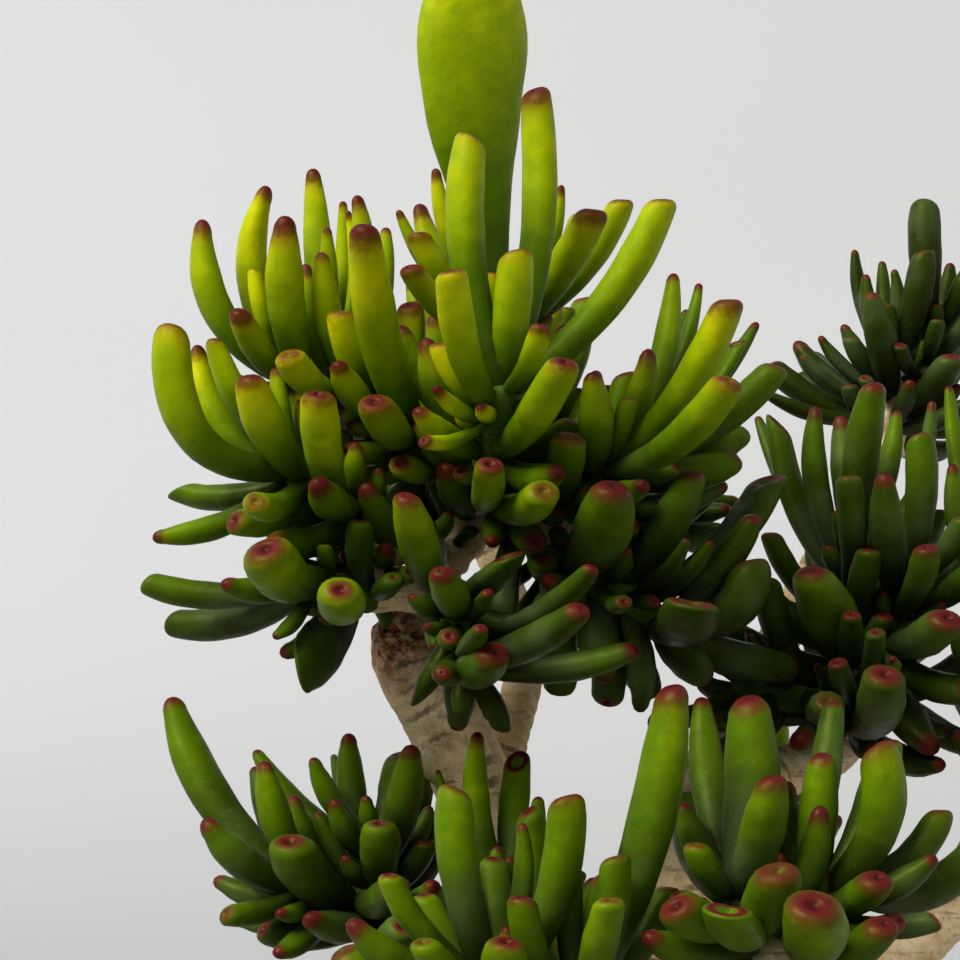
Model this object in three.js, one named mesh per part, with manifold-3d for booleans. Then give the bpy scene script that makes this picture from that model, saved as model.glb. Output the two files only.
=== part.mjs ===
// A hobbit jade: a many-stemmed succulent with finger-shaped leaves, in a plain clay pot.
// Millimetres, +Z up. The origin is on the pot's axis, in the plane that the pot stands on.
// The front of the plant faces -Y, and +X is to the right of somebody looking at it.

import * as THREE from 'three';
import { mergeVertices } from 'three/addons/utils/BufferGeometryUtils.js';
import Module from 'manifold-3d';

const wasm = await Module();
wasm.setup();

// Clearance left between two pieces that rest against each other
const GAP = 0.35;

// Pot: foot ring, cone wall and a proud band at the rim
const POT = {
  height: 105,
  rimRadius: 65,
  rimBand: 19,
  rimProud: 3.5,
  rimRound: 2.2,
  rimLedge: 1,
  wall: 6.5,
  footRadius: 45.5,
  footWidth: 8.5,
  footHeight: 2.5,
  footFlare: 1.2,
  floorInset: 5.5,
  floor: 8,
  drainRadius: 6,
  facets: 28,
};

// Soil: how far its edge lies under the rim, and how high it is heaped towards the trunk, as shares of the
// heap at some radii
const SOIL = { belowRim: 13, heap: 4, shoulder: [53.3, 0.35], slope: [34, 0.8], top: [18, 1] };

// Front view grid. A place is given as [across, down, depth]: steps to the right and down as seen from
// the viewpoint, and millimetres behind the main stem. A step at the main stem is one `step` wide.
const VIEW = { distance: 480, step: 0.17, middle: 480, x: -28, z: 232 };

// Leaf kinds. Girths are shares of the full width: neck at the root, full at the belly, mouth at the tip,
// and swell is the power of the sine wave that widens the leaf up to its belly. flat is thickness over
// width, and slant how much longer the outer side is. bow is how far the leaf bows below its chord, as a
// share of its length. sink is how deep the tip is cupped; below nought, the tip is bluntly pointed.
const CUP = { neck: 0.42, belly: 0.74, mouth: 0.84, swell: 1, flat: 0.88, slant: 0.3, bow: 0.17, sink: 0.2 };
const HOOK = { ...CUP, bow: 0.36 };
const CROOK = { ...CUP, bow: 0.56 };
const TAPER = {
  neck: 0.42, belly: 0.62, mouth: 0.62, swell: 1, flat: 0.86, slant: 0.25, bow: 0.12, sink: -0.05,
};
const ARCH = { ...TAPER, bow: -0.14 };
const POINT = {
  neck: 0.4, belly: 0.62, mouth: 0.46, swell: 1, flat: 0.86, slant: 0.1, bow: 0.17, sink: -0.2,
};
const CLAW = { ...POINT, bow: 0.32 };
const SPOON = {
  neck: 0.45, belly: 0.72, mouth: 0.86, swell: 1, flat: 0.66, slant: 0.8, bow: 0.17, sink: 0.25,
};
const BROAD = {
  neck: 0.26, belly: 0.79, mouth: 0.5, swell: 2, flat: 0.42, slant: 0, bow: 0.1, sink: -0.22,
};

// Room kept between leaves of different heads, and how far apart leaves of one head stay, in leaf radii
const HEAD_ROOM = 1.2;
const LEAF_PRESS = 1.1;
// The root stretch of a leaf, in which it may touch leaves of its own head
const ROOT_SHARE = 0.2;
// How far from its shoot's axis a leaf starts, as a share of the shoot's radius
const ROOT_SUNK = 0.5;

// Woody stems as [x, y, z, radius], from root to end. The trunk's foot is upright in the soil.
const STEMS = {
  trunk: [
    [2, 1, 80, 15.4], [2, 1, 90, 15], [2, 0, 99, 14],
    [0, 0, 110, 12.2], [1, -1, 121, 11], [3, -1, 132, 9.4],
  ],
  main: [
    [1, 0, 116, 9.4], [-7, 0, 134, 8.6], [-16, 1, 150, 7.8], [-26, 2, 171, 7.1], [-31.5, 3, 186, 6.7],
    [-36.5, 3, 194.5, 6.7], [-40, 3.5, 201, 6.5], [-39.5, 4, 206.5, 5.8], [-37.6, 4, 211, 5],
  ],
  second: [
    [-25, 3, 169, 4.6], [-24, 14, 183, 3.8], [-20.5, 25, 197, 3.6],
    [-22, 33, 209, 3.4], [-27, 38, 221, 3.3], [-30, 40, 227, 3.2],
  ],
  stub: [[-30, 1, 180, 3], [-36, -3, 183.5, 2.4], [-38.6, -4.4, 186.5, 2.1]],
  right: [
    [2, -1, 120, 9.6], [6, -1, 140, 8.6], [6.5, 0, 158, 7.4], [8.5, 2, 171, 6.8], [13, 7, 180, 5.4],
  ],
  right_fork: [[10, 4, 174, 5.6], [22, 12, 180, 4.8], [33, 20, 183, 4.3], [38, 24, 186, 4]],
  far_right: [
    [12, 6, 177, 4.8], [20, 24, 192, 4.1], [31, 42, 210, 3.7], [43, 54, 227, 3.3], [49, 58, 237, 3],
  ],
  front_right: [[4, -3, 128, 6], [10, -20, 140, 4.9], [17, -34, 148, 4.3], [20.5, -41, 153.5, 4]],
  outer_right: [
    [5, 2, 128, 6.5], [23, 6, 137, 5.3], [42, 10, 147, 4.7], [54, 12, 157, 4.3], [61, 14, 170, 3.8],
  ],
  left_low: [[-8, 0, 136, 5.4], [-24, 1, 143, 4.4], [-37, 2, 149, 3.9], [-43.5, 2, 155, 3.4]],
  front_low: [[-1, -5, 126, 6], [-9, -24, 132, 4.9], [-16, -38, 138, 4.2], [-18, -45, 142.5, 3.8]],
  back_low: [[4, 5, 128, 6], [11, 22, 138, 4.8], [15, 38, 146, 4.2], [16, 45, 152, 3.8]],
};

// Sight lines kept open through the leaves, as [across, down] on the view grid, the depths from and to, and
// a radius
const SIGHTS = [
  [471, 572, -60, 60, 2.8],
  [388, 640, -60, -10, 4.5],
];
const SIGHT_STEP = 5;

// Leafy heads. `on` names the stem that a head sits on. Each shoot starts at that stem's end, or where it
// first meets an earlier shoot, and follows `path` on the view grid. `shown` lists the leaves that face the
// front, as [tip across, tip down, tip depth, root across, root down, width in steps, kind, turn]. `pairs`
// leaves are set crosswise along the shoot after them, reach[0] long at its start and reach[1] at its end.
const HEADS = [
  {
    name: 'crown_head',
    on: 'main',
    shoots: [
      {
        path: [[438, 562, 4], [474, 520, 4], [492, 465, -10], [502, 402, -26]],
        radius: [7.2, 7.2],
        pairs: 0,
        shown: [
          [451, 271, -46, 498, 428, 37, CUP],
          [565, 362, -48, 518, 462, 40, CUP],
          [541, 325, -40, 505, 402, 24, CUP],
          [472, 138, -28, 503, 385, 45, CUP],
          [535, 90, -18, 525, 340, 38, CUP],
          [662, 200, -30, 555, 402, 42, CUP],
          [423, 441, -38, 465, 412, 18, CUP],
          [436, 388, -34, 470, 425, 20, POINT],
          [490, 464, -36, 490, 505, 34, CUP],
          [447, 470, -28, 474, 520, 38, POINT],
          [544, 491, -38, 515, 500, 42, CUP],
        ],
      },
      {
        path: [[500, 430, 8], [505, 340, 8]],
        radius: [7.2, 6.2],
        pairs: 3,
        reach: [30, 22],
        shown: [
          [476, -44, 6, 508, 335, 118, BROAD, 90],
          [561, 187, 4, 555, 270, 18, POINT],
          [594, 210, -10, 548, 310, 38, CUP],
          [622, 200, -4, 552, 308, 34, CUP],
          [436, 171, 2, 443, 262, 22, POINT],
          [452, 171, -4, 463, 245, 13, POINT],
          [420, 208, 14, 432, 270, 30, POINT],
          [417, 233, 6, 428, 300, 29, CUP],
          [399, 212, 14, 412, 300, 18, POINT],
          [409, 267, -6, 432, 345, 29, CUP],
        ],
      },
      {
        path: [[430, 455, 4], [350, 398, 2], [286, 392, 0]],
        radius: [6.6, 6],
        pairs: 3,
        reach: [30, 20],
        shown: [
          [364, 226, -34, 420, 446, 46, TAPER],
          [357, 199, 0, 366, 300, 28, POINT],
          [343, 203, 10, 350, 290, 17, POINT],
          [348, 212, 4, 338, 295, 13, POINT],
          [327, 230, 6, 335, 320, 20, POINT],
          [313, 172, 6, 315, 300, 29, POINT],
          [285, 222, -14, 304, 395, 40, POINT],
          [266, 192, 2, 300, 392, 37, CLAW],
          [203, 226, 0, 290, 395, 38, CLAW],
          [255, 270, -4, 270, 340, 19, CUP],
          [238, 311, -10, 296, 440, 33, TAPER],
          [306, 268, -6, 335, 395, 25, POINT],
          [322, 257, -4, 362, 402, 32, POINT],
          [386, 230, 14, 380, 330, 22, POINT],
          [374, 402, -26, 395, 450, 42, CUP],
        ],
      },
      {
        path: [[390, 528, -2], [300, 482, -12]],
        radius: [5.5, 5.5],
        pairs: 3,
        reach: [26, 20],
        shown: [
          [173, 328, -26, 300, 486, 44, CROOK],
          [214, 340, -16, 290, 470, 32, TAPER],
          [249, 378, -26, 306, 482, 44, TAPER],
          [198, 350, -6, 290, 475, 32, CLAW],
          [277, 369, -18, 310, 470, 22, TAPER],
          [318, 394, -36, 332, 505, 41, CUP],
          [255, 502, -38, 300, 495, 34, CUP],
          [184, 490, -2, 280, 500, 44, SPOON],
          [157, 537, -16, 262, 545, 30, POINT],
        ],
      },
      {
        path: [[372, 592, -8], [318, 582, -18]],
        radius: [5.5, 5.3],
        pairs: 2,
        reach: [20, 16],
        shown: [
          [146, 582, -14, 285, 590, 33, CUP],
          [173, 622, -8, 305, 600, 38, CUP],
          [276, 636, -26, 300, 590, 18, POINT],
          [266, 549, -46, 302, 575, 58, CUP],
          [340, 590, -44, 336, 582, 50, CUP],
          [300, 666, -20, 352, 605, 66, SPOON, 70],
        ],
      },
      {
        path: [[450, 596, -12], [458, 630, -20], [466, 668, -18]],
        radius: [5.5, 4.6],
        pairs: 0,
        shown: [
          [406, 497, -38, 438, 575, 44, TAPER],
          [441, 572, -44, 450, 610, 38, TAPER],
          [488, 592, -36, 460, 620, 20, TAPER],
          [507, 556, -26, 456, 600, 46, SPOON],
          [593, 567, -38, 464, 645, 30, TAPER],
          [581, 609, -42, 466, 660, 42, TAPER],
          [634, 649, -30, 466, 668, 36, TAPER],
          [481, 628, -46, 462, 655, 26, TAPER],
          [494, 653, -42, 466, 672, 50, TAPER],
          [442, 673, -38, 462, 655, 32, TAPER],
          [414, 690, -20, 458, 625, 40, SPOON],
          [461, 712, -22, 464, 660, 22, TAPER],
          [489, 716, -16, 466, 668, 20, POINT],
        ],
      },
      {
        path: [[545, 512, -4], [605, 478, -12]],
        radius: [6.6, 6],
        pairs: 3,
        reach: [28, 20],
        shown: [
          [729, 300, -28, 602, 460, 41, CUP],
          [730, 380, -40, 600, 482, 40, CUP],
          [673, 277, -4, 625, 420, 30, POINT],
          [699, 285, 6, 650, 400, 18, POINT],
          [686, 311, 10, 640, 410, 18, POINT],
          [756, 324, 8, 660, 430, 21, POINT],
          [737, 343, 2, 660, 440, 25, SPOON],
          [776, 366, -4, 660, 455, 38, CUP],
          [704, 369, 8, 650, 445, 18, POINT],
          [629, 398, -22, 605, 455, 22, CUP],
          [742, 432, -4, 610, 480, 44, TAPER],
          [675, 468, -26, 610, 490, 26, TAPER],
          [734, 458, -12, 610, 482, 48, TAPER],
        ],
      },
      {
        path: [[556, 566, -4], [618, 592, -12], [662, 630, -10]],
        radius: [6.6, 6],
        pairs: 3,
        reach: [26, 20],
        shown: [
          [612, 488, -38, 572, 572, 62, TAPER],
          [768, 480, 0, 640, 605, 48, SPOON],
          [692, 474, -20, 618, 592, 46, TAPER],
          [753, 517, -12, 664, 630, 36, TAPER],
          [686, 541, -26, 650, 580, 18, POINT],
          [710, 543, -22, 660, 585, 19, POINT],
          [624, 602, -30, 590, 600, 22, CUP],
          [692, 602, -36, 655, 636, 62, SPOON],
          [751, 563, -16, 655, 632, 52, CROOK],
          [604, 672, -14, 575, 600, 44, POINT],
          [650, 690, 2, 610, 600, 40, TAPER],
          [705, 672, -8, 650, 620, 46, TAPER],
          [607, 702, -10, 600, 598, 36, CUP],
          [792, 666, 0, 662, 630, 46, TAPER],
          [545, 562, -24, 500, 560, 38, POINT],
        ],
      },
    ],
  },
  {
    name: 'crown_back_head',
    on: 'second',
    shoots: [
      {
        path: [[470, 470, 46], [480, 420, 50], [474, 370, 52]],
        radius: [5.9, 5.8],
        pairs: 8,
        reach: [28, 21],
        shown: [],
      },
      {
        path: [[450, 450, 54], [370, 415, 58]],
        radius: [5.5, 5.3],
        pairs: 5,
        reach: [26, 19],
        shown: [],
      },
      {
        path: [[500, 440, 52], [590, 450, 50], [650, 520, 44]],
        radius: [5.5, 5.3],
        pairs: 5,
        reach: [26, 19],
        shown: [],
      },
    ],
  },
  {
    name: 'left_low_head',
    on: 'left_low',
    shoots: [
      {
        path: [[382, 905, 0], [376, 850, 0]],
        radius: [4.8, 4.3],
        pairs: 3,
        reach: [24, 16],
        shown: [
          [349, 738, 6, 370, 880, 30, POINT],
          [334, 756, 12, 356, 850, 16, POINT],
          [257, 753, 8, 350, 858, 26, POINT],
          [380, 824, -16, 405, 885, 42, CUP],
          [427, 841, -10, 410, 895, 28, CUP],
          [404, 926, -28, 390, 930, 43, CUP],
          [368, 948, -8, 385, 925, 30, POINT],
        ],
      },
      {
        path: [[345, 905, -4], [300, 892, -8]],
        radius: [4.4, 4.3],
        pairs: 2,
        reach: [22, 16],
        shown: [
          [173, 703, 4, 290, 880, 44, POINT],
          [210, 826, -8, 298, 896, 42, POINT],
          [256, 770, -2, 305, 870, 28, POINT],
          [295, 801, -4, 345, 898, 32, POINT],
          [290, 842, -20, 350, 915, 56, CUP],
        ],
      },
    ],
  },
  {
    name: 'front_low_head',
    on: 'front_low',
    shoots: [
      {
        path: [[510, 1030, -50], [490, 990, -52]],
        radius: [5.5, 5.5],
        pairs: 5,
        reach: [26, 22],
        shown: [
          [456, 789, -56, 468, 1000, 47, CUP],
          [566, 797, -56, 510, 1000, 46, CUP],
          [522, 826, -48, 498, 990, 23, POINT],
          [507, 942, -68, 498, 1010, 48, CUP],
        ],
      },
      {
        path: [[568, 1040, -50], [580, 1010, -52]],
        radius: [5.5, 5.3],
        pairs: 4,
        reach: [26, 20],
        shown: [
          [672, 688, -50, 580, 1010, 56, TAPER],
          [615, 857, -56, 606, 1000, 38, CUP],
          [610, 900, -70, 608, 1020, 38, CUP],
        ],
      },
      {
        path: [[520, 985, -34], [508, 910, -20]],
        radius: [4.4, 4.1],
        pairs: 1,
        reach: [16, 14],
        shown: [
          [478, 736, -18, 505, 905, 30, POINT],
          [517, 761, -14, 510, 900, 33, SPOON],
          [438, 771, -12, 500, 900, 14, POINT],
          [538, 800, -24, 512, 905, 24, POINT],
        ],
      },
    ],
  },
  {
    name: 'front_right_head',
    on: 'front_right',
    shoots: [
      {
        path: [[770, 955, -44], [738, 905, -46]],
        radius: [5.3, 5.3],
        pairs: 2,
        reach: [18, 14],
        shown: [
          [702, 702, -26, 730, 890, 37, POINT],
          [749, 702, -36, 736, 890, 58, TAPER],
          [772, 780, -52, 738, 905, 50, TAPER],
          [690, 795, -26, 722, 880, 50, CUP],
          [676, 906, -66, 730, 930, 50, CUP],
          [727, 909, -77, 740, 930, 58, SPOON],
          [779, 871, -68, 755, 925, 56, CUP],
        ],
      },
      {
        path: [[800, 940, -44], [830, 890, -44]],
        radius: [5.3, 5.3],
        pairs: 2,
        reach: [18, 14],
        shown: [
          [834, 703, -24, 790, 935, 34, TAPER],
          [822, 757, -38, 800, 920, 40, TAPER],
          [877, 748, -48, 812, 900, 50, HOOK],
          [888, 742, -38, 832, 880, 38, CUP],
          [940, 811, -42, 815, 880, 38, HOOK],
          [985, 842, -36, 845, 900, 44, HOOK],
          [878, 878, -58, 825, 915, 42, CUP],
          [814, 905, -77, 805, 940, 68, CUP],
          [899, 920, -56, 830, 940, 28, CUP],
          [937, 920, -50, 840, 930, 28, CUP],
        ],
      },
    ],
  },
  {
    name: 'right_head',
    on: 'right_fork',
    shoots: [
      {
        path: [[852, 705, 20], [850, 640, 18], [852, 560, 18]],
        radius: [5.9, 5.8],
        pairs: 8,
        reach: [30, 22],
        shown: [
          [874, 385, 12, 851, 565, 41, ARCH],
          [816, 411, 18, 850, 590, 31, POINT],
          [896, 414, 26, 855, 560, 25, POINT],
          [779, 424, 26, 848, 600, 40, SPOON],
          [758, 418, 36, 840, 580, 19, POINT],
          [812, 573, -10, 838, 665, 60, TAPER],
          [869, 550, 2, 855, 630, 30, CUP],
          [852, 614, -10, 850, 670, 24, CUP],
          [876, 632, -12, 855, 685, 24, CUP],
          [837, 662, -14, 848, 700, 24, CUP],
          [885, 674, -18, 852, 720, 50, CUP],
          [774, 600, 6, 840, 650, 40, POINT],
          [800, 740, -2, 845, 700, 44, POINT],
        ],
      },
      {
        path: [[846, 690, 16], [790, 700, 8], [742, 690, 4]],
        radius: [4.6, 4.2],
        pairs: 4,
        reach: [22, 20],
        shown: [],
      },
      {
        path: [[880, 650, 16], [905, 590, 14]],
        radius: [5.5, 5.3],
        pairs: 5,
        reach: [28, 20],
        shown: [
          [920, 436, 8, 903, 590, 35, CUP],
          [932, 403, 26, 908, 570, 18, POINT],
          [924, 487, 22, 905, 585, 22, POINT],
          [927, 547, -4, 900, 620, 32, CUP],
          [948, 618, -10, 895, 650, 44, CUP],
          [893, 659, -16, 885, 650, 18, POINT],
          [930, 745, 6, 880, 680, 44, POINT],
        ],
      },
    ],
  },
  {
    name: 'far_right_head',
    on: 'far_right',
    shoots: [
      {
        path: [[893, 410, 60], [886, 365, 62]],
        radius: [5.1, 4.8],
        pairs: 5,
        reach: [22, 16],
        shown: [
          [855, 252, 68, 880, 370, 18, POINT],
          [866, 277, 62, 882, 372, 18, POINT],
          [882, 263, 72, 886, 370, 16, POINT],
          [894, 272, 62, 890, 370, 18, POINT],
          [848, 331, 66, 876, 385, 17, POINT],
          [821, 338, 62, 878, 400, 17, POINT],
          [803, 357, 56, 880, 415, 18, POINT],
          [765, 393, 52, 882, 420, 19, POINT],
          [865, 378, 46, 884, 400, 17, CUP],
        ],
      },
      {
        path: [[915, 395, 62], [930, 345, 62]],
        radius: [4.8, 4.6],
        pairs: 5,
        reach: [22, 16],
        shown: [
          [925, 204, 60, 930, 350, 34, CUP],
          [950, 266, 68, 932, 350, 20, POINT],
          [900, 345, 48, 920, 380, 17, CUP],
          [938, 320, 52, 930, 370, 18, CUP],
        ],
      },
    ],
  },
  {
    name: 'outer_right_head',
    on: 'outer_right',
    shoots: [
      {
        path: [[1000, 752, 14], [1004, 685, 12], [1000, 615, 10]],
        radius: [5.7, 5.5],
        pairs: 9,
        reach: [21.5, 18],
        shown: [
          [953, 467, 18, 1008, 620, 24, POINT],
          [949, 388, 30, 1006, 610, 20, POINT],
        ],
      },
    ],
  },
  {
    name: 'back_low_head',
    on: 'back_low',
    shoots: [
      {
        path: [[742, 890, 54], [745, 830, 58]],
        radius: [5.3, 5],
        pairs: 6,
        reach: [24, 19],
        shown: [],
      },
      {
        path: [[720, 930, 58], [700, 890, 64]],
        radius: [5.1, 4.8],
        pairs: 4,
        reach: [22, 17],
        shown: [],
      },
    ],
  },
];

const UP = new THREE.Vector3(0, 0, 1);

// Point in space that shows at (across, down) on the view grid, `depth` behind the main stem.
function seen(across, down, depth) {
  const step = (VIEW.step * (VIEW.distance + depth)) / VIEW.distance;
  return new THREE.Vector3(VIEW.x + (across - VIEW.middle) * step, depth, VIEW.z - (down - VIEW.middle) * step);
}

// Repeatable scatter from 0 to 1 for the count `n` and the use `salt`.
function scatter(n, salt) {
  const wave = Math.sin(n * 12.9898 + salt * 78.233) * 43758.5453;
  return wave - Math.floor(wave);
}

function mix(a, b, share) {
  return a + (b - a) * share;
}

// Part of `vector` at right angles to `along`, one unit long.
function squareTo(vector, along) {
  return vector.clone().addScaledVector(along, -vector.dot(along)).normalize();
}

// Closed three.js geometry as a solid: only positions are kept, and shared corners are merged.
function solidOf(geometry) {
  const bare = geometry.clone();
  bare.deleteAttribute('normal');
  bare.deleteAttribute('uv');
  const merged = mergeVertices(bare, 1e-4);
  return new wasm.Manifold(new wasm.Mesh({
    numProp: 3,
    vertProperties: new Float32Array(merged.attributes.position.array),
    triVerts: new Uint32Array(merged.index.array),
  }));
}

function geometryOf(solid) {
  const mesh = solid.getMesh();
  const geometry = new THREE.BufferGeometry();
  geometry.setAttribute('position', new THREE.BufferAttribute(mesh.vertProperties, 3));
  geometry.setIndex(new THREE.BufferAttribute(mesh.triVerts, 1));
  geometry.computeVertexNormals();
  return geometry;
}

function join(solids) {
  return solids.reduce((whole, solid) => whole.add(solid));
}

// Largest connected body of a solid, without loose scraps.
function mainBody(solid) {
  const bodies = solid.decompose();
  bodies.sort((a, b) => b.volume() - a.volume());
  return bodies[0];
}

// Cylinder whose rings are laid along a route. ringAt(k) gives ring k's centre, its two half axes and
// the shift of its rim along the route; capAt gives the middle of either end.
function ringedSolid(sides, bands, ringAt, capAt) {
  const geometry = new THREE.CylinderGeometry(1, 1, 1, sides, bands);
  const places = geometry.attributes.position;
  for (let i = 0; i < places.count; i += 1) {
    const ring = Math.round((places.getY(i) + 0.5) * bands);
    const across = places.getX(i);
    const over = places.getZ(i);
    const place = Math.hypot(across, over) < 0.5 ? capAt(ring) : ringAt(ring, across, over);
    places.setXYZ(i, place.x, place.y, place.z);
  }
  return solidOf(geometry);
}

// Evenly spaced frames along a curve: place, direction and two cross directions that don't twist.
function framesAlong(curve, steps) {
  const frames = [];
  let side = new THREE.Vector3(1, 0, 0);
  for (let k = 0; k <= steps; k += 1) {
    const place = curve.getPoint(k / steps);
    const along = curve.getTangent(k / steps);
    side = squareTo(side, along);
    frames.push({ place, along, side, over: side.clone().cross(along) });
  }
  return frames;
}

function smoothCurve(points) {
  return new THREE.CatmullRomCurve3(points, false, 'catmullrom', 0.5);
}

// Round tube along a smooth curve through `points`, with a radius at each point. `grow` makes it fatter
// and longer by that much all round.
function tubeSolid(points, radii, sides, grow = 0) {
  const bands = points.length - 1;
  const frames = framesAlong(smoothCurve(points), bands);
  frames[0].place.addScaledVector(frames[0].along, -grow);
  frames[bands].place.addScaledVector(frames[bands].along, grow);
  const ringAt = (k, across, over) => frames[k].place.clone()
    .addScaledVector(frames[k].side, across * (radii[k] + grow))
    .addScaledVector(frames[k].over, over * (radii[k] + grow));
  return ringedSolid(sides, bands, ringAt, (k) => frames[k].place);
}

// Woody stems, `grow` fatter all round
function woodSolid(grow = 0) {
  return join(Object.values(STEMS).map((rows) => {
    const points = rows.map(([x, y, z]) => new THREE.Vector3(x, y, z));
    const radii = rows.map((row) => row[3]);
    return tubeSolid(points, radii, radii[0] > 8 ? 8 : 6, grow);
  }));
}

// Where a head starts: just past the end of its stem.
function stemEnd(name) {
  const points = STEMS[name].map(([x, y, z]) => new THREE.Vector3(x, y, z));
  const curve = smoothCurve(points);
  return curve.getPoint(1).addScaledVector(curve.getTangent(1), GAP);
}

function nearestOf(places, target) {
  return places.reduce((best, place) => (
    place.distanceTo(target) < best.distanceTo(target) ? place : best));
}

const SHOOT_SAMPLES = 32;
const LEAF_SAMPLES = 12;

// Width at the share `u` of a leaf's length, as a share of its full width: a quarter sine wave, raised to
// a power, swells it from the neck to the belly, and a square law narrows it to the mouth.
function girth(kind, u) {
  if (u < kind.belly) {
    return kind.neck + (1 - kind.neck) * Math.sin((0.5 * Math.PI * u) / kind.belly) ** kind.swell;
  }
  return 1 - (1 - kind.mouth) * ((u - kind.belly) / (1 - kind.belly)) ** 2;
}

// A leaf leaves its shoot outwards and bows up to its tip, along a quadratic curve. Its root is sunk in
// the shoot, `sunk` from the shoot's axis. Its inner side is the hollow side of that bow, turned by
// `turn` degrees about the leaf.
function makeLeaf(axisPlace, sunk, tip, width, kind, turn = 0) {
  const root = axisPlace.clone().addScaledVector(tip.clone().sub(axisPlace).normalize(), sunk);
  const chord = tip.clone().sub(root);
  const length = chord.length();
  const along = chord.clone().normalize();
  const outward = new THREE.Vector3(chord.x, chord.y, 0.001).normalize();
  const bow = squareTo(outward.multiplyScalar(0.6).sub(UP), along);
  const control = root.clone().addScaledVector(chord, 0.5).addScaledVector(bow, kind.bow * length);
  const curve = new THREE.QuadraticBezierCurve3(root, control, tip);
  const inner = bow.clone().negate().applyAxisAngle(along, THREE.MathUtils.degToRad(turn));
  return { curve, inner, width, kind, length };
}

// Balls strung along a leaf, which stand for it when its room is tested
function leafBalls(leaf, head) {
  const balls = [];
  for (let k = 0; k < LEAF_SAMPLES; k += 1) {
    const u = (k + 0.5) / LEAF_SAMPLES;
    const radius = 0.5 * leaf.width * girth(leaf.kind, u) * Math.sqrt(leaf.kind.flat);
    balls.push({ place: leaf.curve.getPoint(u), radius, u, head });
  }
  return balls;
}

function isClear(balls, taken) {
  return balls.every((ball) => taken.every((other) => {
    let room = ball.radius + other.radius;
    if (ball.head === other.head) {
      if (ball.u < ROOT_SHARE || other.u < ROOT_SHARE) {
        return true;
      }
      room *= LEAF_PRESS;
    } else if (other.head === 'wood' && ball.u < ROOT_SHARE) {
      return true;
    } else {
      room += HEAD_ROOM;
    }
    return ball.place.distanceTo(other.place) > room;
  }));
}

// First of the candidate leaves that stands clear of all that is there already
function firstClear(candidates, taken, head) {
  return candidates.find((leaf) => isClear(leafBalls(leaf, head), taken));
}

// A shown leaf keeps its place in the front view, and slides along the line of sight until it is clear.
const SLIDES = [0, 3, -3, 6, -6, 9, -9, 12, 15];

function shownLeaf(row, frames, taken, head) {
  const [tipAcross, tipDown, depth, rootAcross, rootDown, width, kind, turn = 0] = row;
  const missBy = ({ place }) => place.distanceTo(seen(rootAcross, rootDown, place.y));
  const root = frames.reduce((best, next) => (missBy(next) < missBy(best) ? next : best));
  const candidates = SLIDES.map((slide) => {
    const tipDepth = depth + slide;
    const realWidth = (width * VIEW.step * (VIEW.distance + tipDepth)) / VIEW.distance;
    const tip = seen(tipAcross, tipDown, tipDepth);
    return makeLeaf(root.place, ROOT_SUNK * root.radius, tip, realWidth, kind, turn);
  });
  return firstClear(candidates, taken, head) ?? candidates[0];
}

// Leaves in crosswise pairs: each pair is a quarter turn on from the last, and leans in more towards the
// end of the shoot. A leaf that would cross another swings round the shoot until it is clear.
const LEAN = [78, 26];
const PAIR_WIDTH = [6.6, 5.2];
const SWINGS = [0, 14, -14, 28, -28, 42, -42];

function pairLeaves(shoot, frames, taken, head, count) {
  const leaves = [];
  for (let k = 0; k < shoot.pairs * 2; k += 1) {
    const pair = Math.floor(k / 2);
    const share = shoot.pairs > 1 ? pair / (shoot.pairs - 1) : 1;
    const frame = frames[Math.round(mix(0.3, 1, share) * (frames.length - 1))];
    const n = count + k;
    const length = mix(shoot.reach[0], shoot.reach[1], share) * mix(0.82, 1.14, scatter(n, 1));
    const width = mix(PAIR_WIDTH[0], PAIR_WIDTH[1], share) * mix(0.82, 1.1, scatter(n, 2));
    const lean = THREE.MathUtils.degToRad(mix(LEAN[0], LEAN[1], share) + 16 * (scatter(n, 3) - 0.5));
    const kind = scatter(n, 4) < 0.62 ? CUP : POINT;
    const heading = 90 * pair + 180 * (k % 2) + 30 * (scatter(n, 5) - 0.5);
    const candidates = SWINGS.map((swing) => {
      const turn = THREE.MathUtils.degToRad(heading + swing);
      const tip = frame.place.clone()
        .addScaledVector(frame.along, length * Math.cos(lean))
        .addScaledVector(frame.side, length * Math.sin(lean) * Math.cos(turn))
        .addScaledVector(frame.over, length * Math.sin(lean) * Math.sin(turn))
        .addScaledVector(UP, 0.12 * length);
      return makeLeaf(frame.place, ROOT_SUNK * frame.radius, tip, width, kind);
    });
    const leaf = firstClear(candidates, taken, head);
    if (leaf) {
      leaves.push(leaf);
      taken.push(...leafBalls(leaf, head));
    }
  }
  return leaves;
}

// Routes of a head's shoots: the first starts on the head's stem, the others on those before them.
function shootRoutes(head) {
  const grown = [];
  return head.shoots.map((shoot) => {
    const path = shoot.path.map((place) => seen(...place));
    path.unshift(grown.length ? nearestOf(grown, path[0]) : stemEnd(head.on));
    const frames = framesAlong(smoothCurve(path), SHOOT_SAMPLES);
    frames.forEach((frame, k) => {
      frame.radius = mix(shoot.radius[0], shoot.radius[1], k / SHOOT_SAMPLES);
      grown.push(frame.place);
    });
    return { shoot, path, frames };
  });
}

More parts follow.
